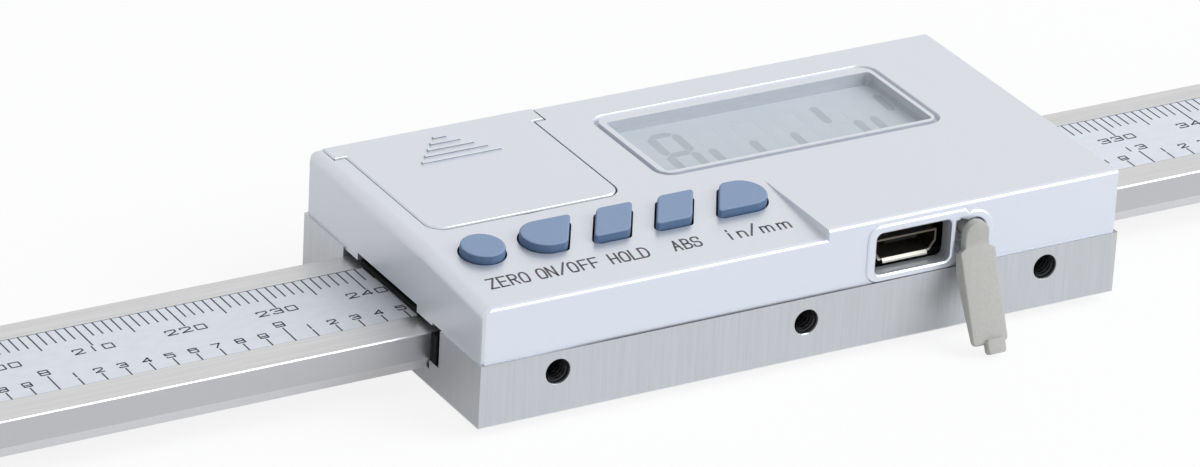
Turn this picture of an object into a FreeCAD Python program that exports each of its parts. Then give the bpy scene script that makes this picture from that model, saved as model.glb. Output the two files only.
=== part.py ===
import FreeCAD, Part
import math
import os
from types import SimpleNamespace

import Sketcher
from FreeCAD import Placement, Rotation, Vector

# Digital linear scale: a reading head that slides along a graduated steel beam.
# Frame: X along the beam, Y to the back, Z up, millimetres. The origin is the middle of the beam,
# on the plane that its two feet stand on.

doc = FreeCAD.newDocument("digital_linear_scale")
sheet = doc.addObject("Spreadsheet::Sheet", "dims")

DIMENSIONS = {
    # Beam, with the groove that the graduated film lies in
    "beam_length": 412.0, "beam_width": 18.5, "beam_thickness": 3.95,
    "bevel_rise": 1.1, "bevel_run": 0.3, "edge_break": 0.12,
    "film_length": 384.0, "film_width": 11.6, "film_thickness": 0.15, "film_drop": 0.05, "film_y": 0.35,
    "grid_thickness": 0.6,
    # Feet at the beam's ends
    "foot_thickness": 3.0, "foot_length": 15.0, "foot_width": 46.0, "foot_corner": 2.0,
    "foot_hole_radius": 2.25, "foot_hole_spacing": 36.0, "foot_screw_spacing": 9.0,
    "screw_radius": 1.5, "screw_head_radius": 2.8, "screw_head_depth": 1.6, "screw_length": 6.2,
    "screw_slot": 0.4, "screw_sides": 12,
    # Reading head: steel base
    "head_left": 51.4, "head_length": 74.4, "head_front": -19.6, "head_width": 37.5,
    "base_bottom": 1.1, "base_height": 6.85, "running_fit": 0.05, "seat_gap": 0.1,
    "gib_slot_width": 1.9, "gib_slot_bottom": 3.9, "gib_thickness": 1.2, "gib_end_gap": 0.1,
    "gib_spring_length": 49.6,
    "mount_hole_radius": 1.25, "mount_hole_depth": 6.0, "mount_hole_spacing": 57.0,
    "mount_hole_rise": 5.65, "mount_hole_edge": 0.15, "gib_hole_rise": 5.2, "gib_screw_length": 2.2,
    "gib_screw_socket": 0.62, "case_screw_inset": 4.2, "case_screw_radius": 1.0,
    "case_screw_head_radius": 1.9, "case_screw_head_depth": 1.2, "case_screw_reach": 3.0,
    "case_post": 4.6, "case_screw_room": 3.2,
    # Housing
    "housing_inset": 0.2, "housing_height": 6.9, "housing_wall": 1.6, "roof_thickness": 2.45,
    "panel_drop": 1.07, "panel_fold": -6.6, "panel_length": 39.35,
    "edge_small": 0.3, "edge_left": 1.2, "corner_edge": 0.25, "arch_rise": 0.5, "arch_width": 12.6,
    "arch_y": 0.3, "lip_drop": 0.3,
    # Display window
    "frame_x": 47.17, "frame_y": 5.75, "frame_length": 34.25, "frame_width": 15.6, "frame_radius": 2.0,
    "moat_width": 0.6, "moat_slope": 0.25, "moat_depth": 0.45,
    "window_x": 47.25, "window_y": 5.4, "window_length": 31.9, "window_width": 12.6, "window_radius": 0.5,
    "window_depth": 1.5, "lens_thickness": 0.6, "glass_thickness": 2.0, "glass_length": 34.6,
    "glass_width": 15.8, "zebra_width": 1.6, "zebra_length": 31.0,
    # Battery and its door
    "door_x": 13.8, "door_length": 21.3, "door_width": 21.65, "door_radius": 2.0, "door_thickness": 1.05,
    "door_ear": 1.3, "door_ear_length": 2.8, "door_gap": 0.15, "door_proud": 0.1, "door_runner": 0.5,
    "door_edge": 0.15, "rib_count": 5, "rib_first": 10.4, "rib_pitch": 1.2, "rib_length": 9.1,
    "rib_step": 1.9, "rib_width": 0.35, "rib_height": 0.2,
    "cell_radius": 10.0, "cell_thickness": 3.2, "cell_y": 6.4, "cell_rim": 1.6, "cell_edge": 0.4,
    "well_gap": 0.3, "well_wall": 0.9, "well_floor": 0.4,
    "contact_thickness": 0.2, "contact_width": 4.0, "contact_length": 10.0,
    # Keys on the sloping panel
    "key_y": -9.3, "key_slant": 0.6, "key_depth": 4.9, "key_width": 4.15, "key_corner": 0.5, "key_gap": 0.2,
    "key_proud": 0.9, "key_edge": 0.2, "key_body": 1.8, "lug_reach": 0.55, "lug_height": 0.6,
    "lug_width": 1.8, "key_bay_front": 3.6, "key_bay_back": 3.4, "key_bay_height": 0.8,
    "zero_radius": 2.28, "zero_x": 5.43, "power_x": 12.53, "hold_x": 20.21, "abs_x": 27.29, "unit_x": 35.05,
    "bullet_length": 5.33, "mat_front": 3.4, "mat_back": 2.9, "mat_thickness": 0.8,
    "dome_height": 1.0, "dome_radius": 1.5, "dome_sides": 8,
    # Boards
    "reader_gap": 0.15, "reader_thickness": 0.6, "reader_width": 12.2, "reader_end_gap": 0.3,
    "board_rise": 0.35, "board_thickness": 1.0, "board_gap": 0.5, "header_length": 10.0, "chip_side": 6.0,
    "chip_height": 0.9,
    # Data port and its rubber flap
    "port_x": 49.5, "port_rise": 10.525, "port_width": 7.5, "port_height": 2.35, "port_depth": 5.0,
    "port_sheet": 0.2, "port_corner": 0.75, "port_corner_rise": 0.95, "port_setback": 1.65,
    "port_lip": 0.25, "port_lip_width": 5.3, "tongue_width": 3.9, "tongue_thickness": 0.65,
    "bezel_left": 44.0, "bezel_length": 11.0, "bezel_height": 6.25, "bezel_radius": 1.4, "bezel_edge": 0.12,
    "bezel_root": 0.4, "mouth_left": 45.0, "mouth_length": 8.95, "mouth_low": 8.7, "mouth_height": 4.65,
    "mouth_radius": 0.7, "mouth_edge": 0.15, "rib_wall": 0.35,
    "flap_x": 56.4, "flap_rise": 11.6, "neck_radius": 1.42, "flap_thickness": 1.0, "bend_drop": 1.1,
    "lid_start": 0.56, "lid_width": 4.2, "lid_length": 9.75, "lid_tilt": 25.5, "lid_corner": 0.5,
    "stem_radius": 0.9, "stem_length": 2.95, "bulb_radius": 1.9, "bulb_length": 1.0, "bulb_room": 0.3,
    "slot_side": 3.1, "slot_depth": 1.2, "slot_foot": 0.7, "plug_start": 1.9, "plug_length": 6.5,
    "plug_width": 3.6, "plug_thickness": 0.55, "tab_width": 2.2, "tab_length": 1.1, "tab_lap": 0.5,
    "tab_inset": 0.6,
}


class Size:
    """A number that keeps the sheet expression it was worked out from."""

    def __init__(self, value, text=None):
        self.value = float(value)
        self.text = text or repr(float(value))

    def join(self, other, sign, value):
        return Size(value, f"({self.text} {sign} {other.text})")

    def __add__(self, other):
        other = size(other)
        return self.join(other, "+", self.value + other.value)

    def __sub__(self, other):
        other = size(other)
        return self.join(other, "-", self.value - other.value)

    def __mul__(self, other):
        other = size(other)
        return self.join(other, "*", self.value * other.value)

    def __truediv__(self, other):
        other = size(other)
        return self.join(other, "/", self.value / other.value)

    def __radd__(self, other):
        return size(other) + self

    def __rsub__(self, other):
        return size(other) - self

    def __rmul__(self, other):
        return size(other) * self

    def __neg__(self):
        return size(0) - self


def size(number):
    """Any number as a Size."""
    return number if isinstance(number, Size) else Size(number)


for row, (alias, number) in enumerate(DIMENSIONS.items(), start=1):
    sheet.set(f"A{row}", alias)
    sheet.set(f"B{row}", str(number))
    sheet.setAlias(f"B{row}", alias)
doc.recompute()
d = SimpleNamespace(**{alias: Size(sheet.get(alias), f"dims.{alias}") for alias in DIMENSIONS})

# Smallest volume in mm3 that a cut has to take, distance in mm within which places count as the same,
# and share of its length that an edge has to run along an axis
MISSED_CUT = 1e-6
TOUCHING = 0.02
PARALLEL = 0.999
HEX_SIDES = 6
SHARP_JOIN = 2

subparts = {}


def finish(label, obj):
    """Register a sub-part under the name of its file."""
    obj.Label = label
    subparts[label] = obj
    return obj


def bind(obj, **properties):
    """Bind properties to sheet expressions; a double underscore stands for a dot."""
    for name, amount in properties.items():
        obj.setExpression(name.replace("__", "."), size(amount).text)
    return obj


def at(obj, x=0, y=0, z=0):
    """Bind the place of an object."""
    return bind(obj, Placement__Base__x=x, Placement__Base__y=y, Placement__Base__z=z)


def turn(obj, axis, degrees):
    """Turn an object about an axis through its own origin, by a bound angle."""
    obj.Placement = Placement(obj.Placement.Base, Rotation(axis, size(degrees).value))
    return bind(obj, Placement__Rotation__Angle=degrees)


def box(name, x, y, z):
    """A block between pairs of bounds along each axis."""
    block = doc.addObject("Part::Box", name)
    bind(block, Length=x[1] - x[0], Width=y[1] - y[0], Height=z[1] - z[0])
    return at(block, x[0], y[0], z[0])


def cylinder(name, radius, height, x, y, z, axis=None):
    """A cylinder from its base centre, along Z or turned to another axis."""
    rod = doc.addObject("Part::Cylinder", name)
    bind(rod, Radius=radius, Height=height)
    if axis:
        rod.Placement = Placement(Vector(), Rotation(Vector(0, 0, 1), axis))
    return at(rod, x, y, z)


def prism(name, sides, radius, height, x, y, z, axis=None):
    """A many-sided rod from its base centre, along Z or turned to another axis."""
    rod = doc.addObject("Part::Prism", name)
    bind(rod, Polygon=sides, Circumradius=radius, Height=height)
    if axis:
        rod.Placement = Placement(Vector(), Rotation(Vector(0, 0, 1), axis))
    return at(rod, x, y, z)


def fuse(name, *shapes):
    """Several overlapping shapes as one solid."""
    joined = doc.addObject("Part::MultiFuse", name)
    joined.Shapes = list(shapes)
    joined.Refine = True
    return joined


def group(name, *shapes):
    """Several separate solids in one object."""
    compound = doc.addObject("Part::Compound", name)
    compound.Links = list(shapes)
    return compound


def cut(name, base, tool):
    """A shape with a tool taken out of it."""
    result = doc.addObject("Part::Cut", name)
    result.Base = base
    result.Tool = tool
    result.Refine = True
    return result


def body(name):
    return doc.addObject("PartDesign::Body", name)


def sketch(owner, plane, offset):
    """An empty sketch on an origin plane of its body, moved along that plane's normal."""
    new = owner.newObject("Sketcher::SketchObject", f"{owner.Name}_sketch")
    support = next(item for item in owner.Origin.OriginFeatures if item.Role == f"{plane}_Plane")
    new.AttachmentSupport = (support, [""])
    new.MapMode = "FlatFace"
    return bind(new, AttachmentOffset__Base__z=offset)


def pin_point(target, geometry, end, x, y):
    """Hold one point of a sketch at bound coordinates."""
    for kind, amount in (("DistanceX", x), ("DistanceY", y)):
        if amount is not None:
            index = target.addConstraint(Sketcher.Constraint(kind, -1, 1, geometry, end, size(amount).value))
            target.setExpression(f"Constraints[{index}]", size(amount).text)


def polygon(owner, plane, offset, corners):
    """A closed outline of straight sides through bound corners."""
    new = sketch(owner, plane, offset)
    points = [Vector(size(x).value, size(y).value, 0) for x, y in corners]
    count = len(points)
    for index, point in enumerate(points):
        new.addGeometry(Part.LineSegment(point, points[(index + 1) % count]))
    for index, (x, y) in enumerate(corners):
        new.addConstraint(Sketcher.Constraint("Coincident", index, 2, (index + 1) % count, 1))
        pin_point(new, index, 1, x, y)
    return new


def rectangle(owner, plane, offset, x, y):
    """A rectangle between two pairs of bounds."""
    return polygon(owner, plane, offset, [(x[0], y[0]), (x[1], y[0]), (x[1], y[1]), (x[0], y[1])])


def round_rectangle(owner, plane, offset, x, y, radius):
    """A rectangle between two pairs of bounds, with corners of one bound radius."""
    new = sketch(owner, plane, offset)
    inner_x, inner_y = (x[0] + radius, x[1] - radius), (y[0] + radius, y[1] - radius)
    stops = [(inner_x[0], y[0]), (inner_x[1], y[0]), (x[1], inner_y[0]), (x[1], inner_y[1]),
             (inner_x[1], y[1]), (inner_x[0], y[1]), (x[0], inner_y[1]), (x[0], inner_y[0])]
    points = [Vector(stop[0].value, stop[1].value, 0) for stop in stops]
    low_y, high_y = inner_y
    centres = [(inner_x[1], low_y), (inner_x[1], high_y), (inner_x[0], high_y), (inner_x[0], low_y)]
    for corner, (centre_x, centre_y) in enumerate(centres):
        side = 2 * corner
        new.addGeometry(Part.LineSegment(points[side], points[side + 1]))
        circle = Part.Circle(Vector(centre_x.value, centre_y.value, 0), Vector(0, 0, 1), radius.value)
        quarter = math.pi / 2
        new.addGeometry(Part.ArcOfCircle(circle, (corner - 1) * quarter, corner * quarter))
    for corner, (centre_x, centre_y) in enumerate(centres):
        side, arc = 2 * corner, 2 * corner + 1
        pin_point(new, side, 1, *stops[side])
        pin_point(new, side, 2, *stops[side + 1])
        new.addConstraint(Sketcher.Constraint("Coincident", arc, 1, side, 2))
        new.addConstraint(Sketcher.Constraint("Coincident", arc, 2, (side + 2) % len(stops), 1))
        pin_point(new, arc, 3, centre_x, None)
    return new


def circles(owner, plane, offset, radius, centres):
    """Circles of one bound radius."""
    new = sketch(owner, plane, offset)
    for index, (x, y) in enumerate(centres):
        centre = Vector(size(x).value, size(y).value, 0)
        new.addGeometry(Part.Circle(centre, Vector(0, 0, 1), size(radius).value))
        pin_point(new, index, 3, x, y)
        number = new.addConstraint(Sketcher.Constraint("Radius", index, size(radius).value))
        new.setExpression(f"Constraints[{number}]", size(radius).text)
    return new


def settle(feature):
    """Recompute, and stop at a feature that failed."""
    doc.recompute()
    if "Invalid" in feature.State or "Error" in feature.State or not feature.Shape.isValid():
        raise RuntimeError(f"{feature.Name} failed: {feature.getStatusString()}")
    return feature


def pad(owner, profile, length, both_ways=False):
    """Add material along the normal of a sketch."""
    feature = owner.newObject("PartDesign::Pad", f"{owner.Name}_pad")
    feature.Profile = profile
    feature.SideType = "Symmetric" if both_ways else "One side"
    bind(feature, Length=length)
    return settle(feature)


def pocket(owner, profile, length, forward=False):
    """Take material away against the normal of a sketch, or along it; refuse a cut that misses."""
    before = owner.Shape.Volume
    feature = owner.newObject("PartDesign::Pocket", f"{owner.Name}_pocket")
    feature.Profile = profile
    feature.Reversed = forward
    bind(feature, Length=length)
    settle(feature)
    if owner.Shape.Volume > before - MISSED_CUT:
        raise RuntimeError(f"{feature.Name} cuts nothing")
    return feature


def flare(owner, wide, narrow):
    """Take away the space between a wide outline and a narrower one below it."""
    before = owner.Shape.Volume
    feature = owner.newObject("PartDesign::SubtractiveLoft", f"{owner.Name}_flare")
    feature.Profile = wide
    feature.Sections = [narrow]
    feature.Ruled = True
    settle(feature)
    if owner.Shape.Volume > before - MISSED_CUT:
        raise RuntimeError(f"{feature.Name} cuts nothing")
    return feature


def soften(owner, kind, amount, chosen):
    """Fillet or chamfer the edges of a body's tip that a test on each edge picks."""
    base = owner.Tip
    names = [f"Edge{number}" for number, edge in enumerate(base.Shape.Edges, start=1) if chosen(edge)]
    if not names:
        raise RuntimeError(f"{owner.Name} has no edge to soften")
    feature = owner.newObject(f"PartDesign::{kind}", f"{owner.Name}_{kind.lower()}")
    feature.Base = (base, names)
    bind(feature, **{"Radius" if kind == "Fillet" else "Size": amount})
    return settle(feature)


def along(edge, axis):
    """Whether an edge is a straight line along an axis."""
    if len(edge.Vertexes) != 2:
        return False
    step = edge.Vertexes[1].Point - edge.Vertexes[0].Point
    return abs(step.dot(axis)) > PARALLEL * edge.Length


def middle(edge):
    return edge.BoundBox.Center


def near(one, other):
    return abs(one - size(other).value) < TOUCHING


def centred(middle_place, length):
    """The bounds of a length about its middle."""
    return middle_place - length / 2, middle_place + length / 2


X_AXIS, Y_AXIS, Z_AXIS = Vector(1, 0, 0), Vector(0, 1, 0), Vector(0, 0, 1)

# Levels and bounds that several pieces share
beam_top = d.foot_thickness + d.beam_thickness
film_top = beam_top - d.film_drop
half_beam = d.beam_width / 2
head_right = d.head_left + d.head_length
head_back = d.head_front + d.head_width
head_middle = d.head_left + d.head_length / 2
base_top = d.base_bottom + d.base_height
channel_side = half_beam + d.running_fit
gib_wall = -channel_side - d.gib_slot_width
case_left = d.head_left + d.housing_inset
case_right = head_right - d.housing_inset
case_front = d.head_front + d.housing_inset
case_back = head_back - d.housing_inset
case_top = base_top + d.housing_height
cavity_top = case_top - d.roof_thickness
panel_end = d.head_left + d.panel_length
board_bottom = base_top + d.board_rise
board_top = board_bottom + d.board_thickness


# Beam: a ground steel bar with bevelled lower edges, broken upper edges and a groove for the film
beam = body("beam")
beam_bottom, shoulder = d.foot_thickness, d.foot_thickness + d.bevel_rise
pad(beam, polygon(beam, "YZ", 0, [
    (-half_beam + d.bevel_run, beam_bottom), (half_beam - d.bevel_run, beam_bottom),
    (half_beam, shoulder), (half_beam, beam_top - d.edge_break),
    (half_beam - d.edge_break, beam_top), (-half_beam + d.edge_break, beam_top),
    (-half_beam, beam_top - d.edge_break), (-half_beam, shoulder)]), d.beam_length, both_ways=True)
film_x = centred(size(0), d.film_length)
film_y = centred(d.film_y, d.film_width)
groove_depth = d.film_drop + d.film_thickness + d.grid_thickness
pocket(beam, rectangle(beam, "XY", beam_top, (film_x[0] - d.running_fit, film_x[1] + d.running_fit),
                       (film_y[0] - d.running_fit, film_y[1] + d.running_fit)), groove_depth)
foot_middle = d.beam_length / 2 - d.foot_length / 2
screw_y = d.foot_screw_spacing / 2
screw_places = [(x, y) for x in (-foot_middle, foot_middle) for y in (-screw_y, screw_y)]
for radius, depth in ((d.screw_radius, d.beam_thickness), (d.screw_head_radius, d.screw_head_depth)):
    pocket(beam, circles(beam, "XY", beam_top, radius + d.running_fit, screw_places), depth)
finish("beam", beam)

# Graduated film on the grid board that the reader senses
grid_bottom = beam_top - groove_depth
film_bottom = film_top - d.film_thickness
finish("scale_grid", box("scale_grid", film_x, film_y, (grid_bottom, film_bottom)))
finish("scale_film", box("scale_film", film_x, film_y, (film_bottom, film_top)))


def foot(name, centre):
    """A steel plate under one end of the beam, with two bolt holes outside the beam."""
    plate = body(name)
    pad(plate, rectangle(plate, "XY", 0, centred(centre, d.foot_length), centred(size(0), d.foot_width)),
        d.foot_thickness)
    bolt_y = d.foot_hole_spacing / 2
    for radius, reach in ((d.foot_hole_radius, bolt_y), (d.screw_radius + d.running_fit, screw_y)):
        holes = circles(plate, "XY", d.foot_thickness, radius, [(centre, -reach), (centre, reach)])
        pocket(plate, holes, d.foot_thickness)
    soften(plate, "Chamfer", d.foot_corner, lambda edge: along(edge, Z_AXIS))
    return finish(name, plate)


foot("foot_left", -foot_middle)
foot("foot_right", foot_middle)


def sunk_screw(name, x, y, top, radius, head_radius, head_depth, length, down=True):
    """A screw with a slotted head, sunk flush with a face; round enough, because it repeats."""
    facing = -Z_AXIS if down else Z_AXIS
    head = prism(f"{name}_head", d.screw_sides, head_radius, head_depth, x, y, top, facing)
    shank = prism(f"{name}_shank", d.screw_sides, radius, length, x, y, top, facing)
    slot_z = (top - d.screw_slot, top) if down else (top, top + d.screw_slot)
    slot = box(f"{name}_slot", (x - head_radius, x + head_radius), centred(y, d.screw_slot), slot_z)
    return cut(name, fuse(f"{name}_blank", head, shank), slot)


foot_screws = [
    sunk_screw(f"foot_screw_{number}", x, y, beam_top, d.screw_radius, d.screw_head_radius,
               d.screw_head_depth, d.screw_length)
    for number, (x, y) in enumerate(screw_places, start=1)]
finish("foot_screws", group("foot_screws", *foot_screws))

# Head base: a steel channel that runs on the beam, with a wider slot for the gib at the front
base = body("base_frame")
channel_floor = d.foot_thickness - d.running_fit
pad(base, polygon(base, "YZ", d.head_left, [
    (d.head_front, d.base_bottom), (head_back, d.base_bottom), (head_back, base_top),
    (channel_side, base_top), (channel_side, channel_floor), (-channel_side, channel_floor),
    (-channel_side, d.gib_slot_bottom), (gib_wall, d.gib_slot_bottom), (gib_wall, base_top),
    (d.head_front, base_top)]), d.head_length)
mount_places = [(x, d.mount_hole_rise) for x in centred(head_middle, d.mount_hole_spacing)]
pocket(base, circles(base, "XZ", -d.head_front, d.mount_hole_radius, mount_places), d.mount_hole_depth)
pocket(base, circles(base, "XZ", -d.head_front, d.mount_hole_radius, [(head_middle, d.gib_hole_rise)]),
       gib_wall - d.head_front)
case_screw_places = [(x, y) for x in (d.head_left + d.case_screw_inset, head_right - d.case_screw_inset)
                     for y in (d.head_front + d.case_screw_inset, head_back - d.case_screw_inset)]
case_hole_radius = d.case_screw_radius + d.running_fit
for radius, depth in ((case_hole_radius, d.base_height),
                      (d.case_screw_head_radius + d.running_fit, d.case_screw_head_depth)):
    pocket(base, circles(base, "XY", d.base_bottom, radius, case_screw_places), depth, forward=True)
soften(base, "Chamfer", d.mount_hole_edge, lambda edge: edge.Closed and near(middle(edge).y, d.head_front))
finish("base_frame", base)

# Gib: a black plastic strip that a bowed spring presses against the beam, set by a grub screw
gib_x = (d.head_left + d.gib_end_gap, head_right - d.gib_end_gap)
gib_back = -channel_side
gib_front = gib_back - d.gib_thickness
gib_z = (d.gib_slot_bottom + d.running_fit, beam_top)
finish("gib_strip", box("gib_strip", gib_x, (gib_front, gib_back), gib_z))


def bowed_strip():
    """A flat spring bent to an arc: two arcs a thickness apart, closed by its ends."""
    thickness = d.contact_thickness.value
    wall = gib_wall.value + d.running_fit.value
    crown = gib_front.value - d.running_fit.value
    reach = d.gib_spring_length.value / 2
    centre = head_middle.value
    outer = Part.Arc(Vector(centre - reach, wall + thickness, 0), Vector(centre, crown, 0),
                     Vector(centre + reach, wall + thickness, 0)).toShape()
    inner = Part.Arc(Vector(centre - reach, wall, 0), Vector(centre, crown - thickness, 0),
                     Vector(centre + reach, wall, 0)).toShape()
    ends = [Part.makeLine(outer.Vertexes[side].Point, inner.Vertexes[side].Point) for side in (0, 1)]
    face = Part.Face(Part.Wire(Part.__sortEdges__([outer, inner, *ends])))
    low, high = gib_z[0].value + thickness, gib_z[1].value - thickness
    face.translate(Vector(0, 0, low))
    return face.extrude(Vector(0, 0, high - low))


gib_spring = doc.addObject("Part::Feature", "gib_spring")
gib_spring.Shape = bowed_strip()
finish("gib_spring", gib_spring)

grub_front = gib_wall - d.gib_screw_length
grub = cylinder("grub_blank", d.mount_hole_radius - d.running_fit, d.gib_screw_length,
                head_middle, grub_front, d.gib_hole_rise, Y_AXIS)
socket = prism("grub_socket", HEX_SIDES, d.gib_screw_socket, d.gib_screw_length / 2,
               head_middle, grub_front, d.gib_hole_rise, Y_AXIS)
finish("gib_screw", cut("gib_screw", grub, socket))

case_screws = [
    sunk_screw(f"case_screw_{number}", x, y, d.base_bottom, d.case_screw_radius, d.case_screw_head_radius,
               d.case_screw_head_depth, d.base_height + d.case_screw_reach, down=False)
    for number, (x, y) in enumerate(case_screw_places, start=1)]
finish("case_screws", group("case_screws", *case_screws))


# Housing: a moulded cover with a sloping key panel, a display window, a battery well and a data port
def cover_block(name, y, right):
    """The cover's block, its front left part cut down to the slope of the key panel."""
    block = body(name)
    pad(block, rectangle(block, "XY", base_top, (case_left, right), y), d.housing_height)
    slope_drop = d.panel_drop * (d.panel_fold - d.head_front) / (d.panel_fold - case_front)
    wedge = [(d.panel_fold, case_top), (d.head_front, case_top), (d.head_front, case_top - slope_drop)]
    pocket(block, polygon(block, "YZ", panel_end, wedge), d.panel_length)
    return block


def on_rim(edge):
    """Whether an edge bounds the top of the cover's block from outside."""
    return (edge.BoundBox.ZMin > cavity_top.value and not along(edge, Z_AXIS)
            and not near(middle(edge).x, panel_end) and not near(middle(edge).y, d.panel_fold))


rounded_left = cover_block("rounded_left", (case_front - d.running_fit, case_back + d.running_fit),
                           case_right + d.running_fit)
soften(rounded_left, "Fillet", d.edge_left, lambda edge: on_rim(edge) and near(middle(edge).x, case_left))
shell = cover_block("housing_shell", (case_front, case_back), case_right)
soften(shell, "Chamfer", d.corner_edge,
       lambda edge: along(edge, Z_AXIS) and not near(middle(edge).x, panel_end))
soften(shell, "Fillet", d.edge_small, on_rim)
inner_x = (case_left + d.housing_wall, case_right - d.housing_wall)
inner_y = (case_front + d.housing_wall, case_back - d.housing_wall)
pocket(shell, rectangle(shell, "XY", base_top, inner_x, inner_y), cavity_top - base_top, forward=True)

# Window: a seat for the glass from below, a shallow moat with a sloping outer side, then the opening
window_x = d.head_left + d.window_x
frame_x = d.head_left + d.frame_x
glass_x = centred(window_x, d.glass_length)
glass_y = centred(d.window_y, d.glass_width)
glass_top = case_top - d.window_depth
pocket(shell, rectangle(shell, "XY", cavity_top, (glass_x[0] - d.seat_gap, glass_x[1] + d.seat_gap),
                        (glass_y[0] - d.seat_gap, glass_y[1] + d.seat_gap)),
       glass_top - cavity_top, forward=True)


def frame_outline(z, inset):
    """The frame's round-cornered outline at a height, drawn in by an inset."""
    return round_rectangle(shell, "XY", z, centred(frame_x, d.frame_length - 2 * inset),
                           centred(d.frame_y, d.frame_width - 2 * inset), d.frame_radius - inset)


moat_floor = case_top - d.moat_depth
flare(shell, frame_outline(case_top, size(0)), frame_outline(moat_floor, d.moat_slope))
pad(shell, frame_outline(moat_floor, d.moat_width), d.moat_depth)


def window_outline(owner, z, gap):
    """The window's round-cornered outline at a height, drawn in by a gap."""
    return round_rectangle(owner, "XY", z, centred(window_x, d.window_length - 2 * gap),
                           centred(d.window_y, d.window_width - 2 * gap), d.window_radius - gap)


pocket(shell, window_outline(shell, case_top, size(0)), d.window_depth)

# Battery well: a cup under the door, open at the top
door_x = d.head_left + d.door_x
door_front = case_back - d.door_length
door_bottom = case_top + d.door_proud - d.door_thickness
well_bottom = board_top + d.seat_gap
cell_bottom = well_bottom + d.well_floor + d.contact_thickness + d.running_fit
well_radius = d.cell_radius + d.well_gap
pad(shell, circles(shell, "XY", well_bottom, well_radius + d.well_wall, [(door_x, d.cell_y)]),
    cavity_top + d.running_fit - well_bottom)
for x, y in case_screw_places:
    pad(shell, rectangle(shell, "XY", well_bottom, centred(x, d.case_post), centred(y, d.case_post)),
        cavity_top + d.running_fit - well_bottom)
pocket(shell, circles(shell, "XY", well_bottom, case_hole_radius, case_screw_places),
       d.case_screw_reach, forward=True)
pocket(shell, circles(shell, "XY", case_top, well_radius, [(door_x, d.cell_y)]),
       case_top - well_bottom - d.well_floor)

# Port: a raised bezel on the front wall, its mouth through both, and room behind for the socket
port_front = case_front + d.port_setback
port_back = port_front + d.port_depth
bezel_left, mouth_left = d.head_left + d.bezel_left, d.head_left + d.mouth_left
mouth_x = (mouth_left, mouth_left + d.mouth_length)
mouth_z = (d.mouth_low, d.mouth_low + d.mouth_height)


def mouth_outline(owner, y):
    """The mouth's round-cornered outline at a depth."""
    return round_rectangle(owner, "XZ", -y, mouth_x, mouth_z, d.mouth_radius)


def in_mouth(bounds):
    """Whether bounds lie inside the mouth, seen from the front."""
    return (bounds.XMin > mouth_x[0].value - TOUCHING and bounds.XMax < mouth_x[1].value + TOUCHING
            and bounds.ZMin > mouth_z[0].value - TOUCHING and bounds.ZMax < mouth_z[1].value + TOUCHING)


def on_bezel_front(edge):
    """Whether an edge lies in the bezel's front."""
    return near(edge.BoundBox.YMax, d.head_front)


bezel = body("port_bezel")
bezel_back = case_front + d.bezel_root
pad(bezel, round_rectangle(bezel, "XZ", -bezel_back, (bezel_left, bezel_left + d.bezel_length),
                           (base_top, base_top + d.bezel_height), d.bezel_radius), bezel_back - d.head_front)
soften(bezel, "Chamfer", d.bezel_edge, on_bezel_front)
pocket(bezel, mouth_outline(bezel, d.head_front), bezel_back - d.head_front)
soften(bezel, "Chamfer", d.mouth_edge, lambda edge: on_bezel_front(edge) and in_mouth(edge.BoundBox))
pocket(shell, mouth_outline(shell, case_front), d.housing_wall + d.running_fit)
pocket(shell, rectangle(shell, "XY", cavity_top, mouth_x, (inner_y[0], port_back + d.board_gap)),
       mouth_z[1] - cavity_top, forward=True)


# Cuts that come in from the sides or square to the sloping panel
def door_blank(name, gap, top):
    """The door's T-shaped plate, grown by a gap: a wider strip at the back, rounded corners at the front."""
    plate = body(name)
    half = d.door_width / 2 + gap
    ear_y = case_back - d.door_ear_length - gap
    front = door_front - gap
    back = case_back + gap
    pad(plate, polygon(plate, "XY", door_bottom - gap, [
        (door_x - half, front), (door_x + half, front), (door_x + half, ear_y),
        (door_x + half + d.door_ear, ear_y), (door_x + half + d.door_ear, back),
        (door_x - half - d.door_ear, back), (door_x - half - d.door_ear, ear_y), (door_x - half, ear_y)]),
        top - door_bottom + gap)
    soften(plate, "Fillet", d.door_radius, lambda edge: along(edge, Z_AXIS) and near(middle(edge).y, front))
    return plate


runner_half = d.door_width / 2 + d.door_runner
runner_y = (door_front + d.door_radius, case_back)
runner_top = door_bottom + d.door_runner
door_seat = door_blank("door_seat", d.door_gap, case_top + d.door_thickness)
runner_seat = box("runner_seat", (door_x - runner_half - d.door_gap, door_x + runner_half + d.door_gap),
                  (runner_y[0] - d.door_gap, case_back + d.door_gap),
                  (door_bottom - d.door_gap, runner_top + d.door_gap))
contact_x = door_x + d.cell_radius + d.running_fit
contact_slot = box("contact_slot",
                   (door_x + d.cell_radius / 2, contact_x + d.contact_thickness + d.running_fit),
                   centred(d.cell_y, d.contact_width + 2 * d.running_fit),
                   (well_bottom + d.well_floor, door_bottom))

slope = math.degrees(math.atan2(d.panel_drop.value, d.panel_fold.value - case_front.value))


def panel_point(x):
    """The point of the sloping panel at a key's middle."""
    share = (d.panel_fold.value - d.key_y.value) / (d.panel_fold.value - case_front.value)
    return Vector(d.head_left.value + x.value, d.key_y.value, case_top.value - share * d.panel_drop.value)


def rounded(outline):
    """An outline with its sharp corners rounded: drawn in by the corner radius, then grown by it again."""
    corner = d.key_corner.value
    return outline.makeOffset2D(-corner, SHARP_JOIN).makeOffset2D(corner)


key_half_depth = d.key_depth.value / 2
key_lean = d.key_slant.value * key_half_depth


def round_key():
    """The round key's outline."""
    return Part.Face(Part.Wire(Part.makeCircle(d.zero_radius.value)))


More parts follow.
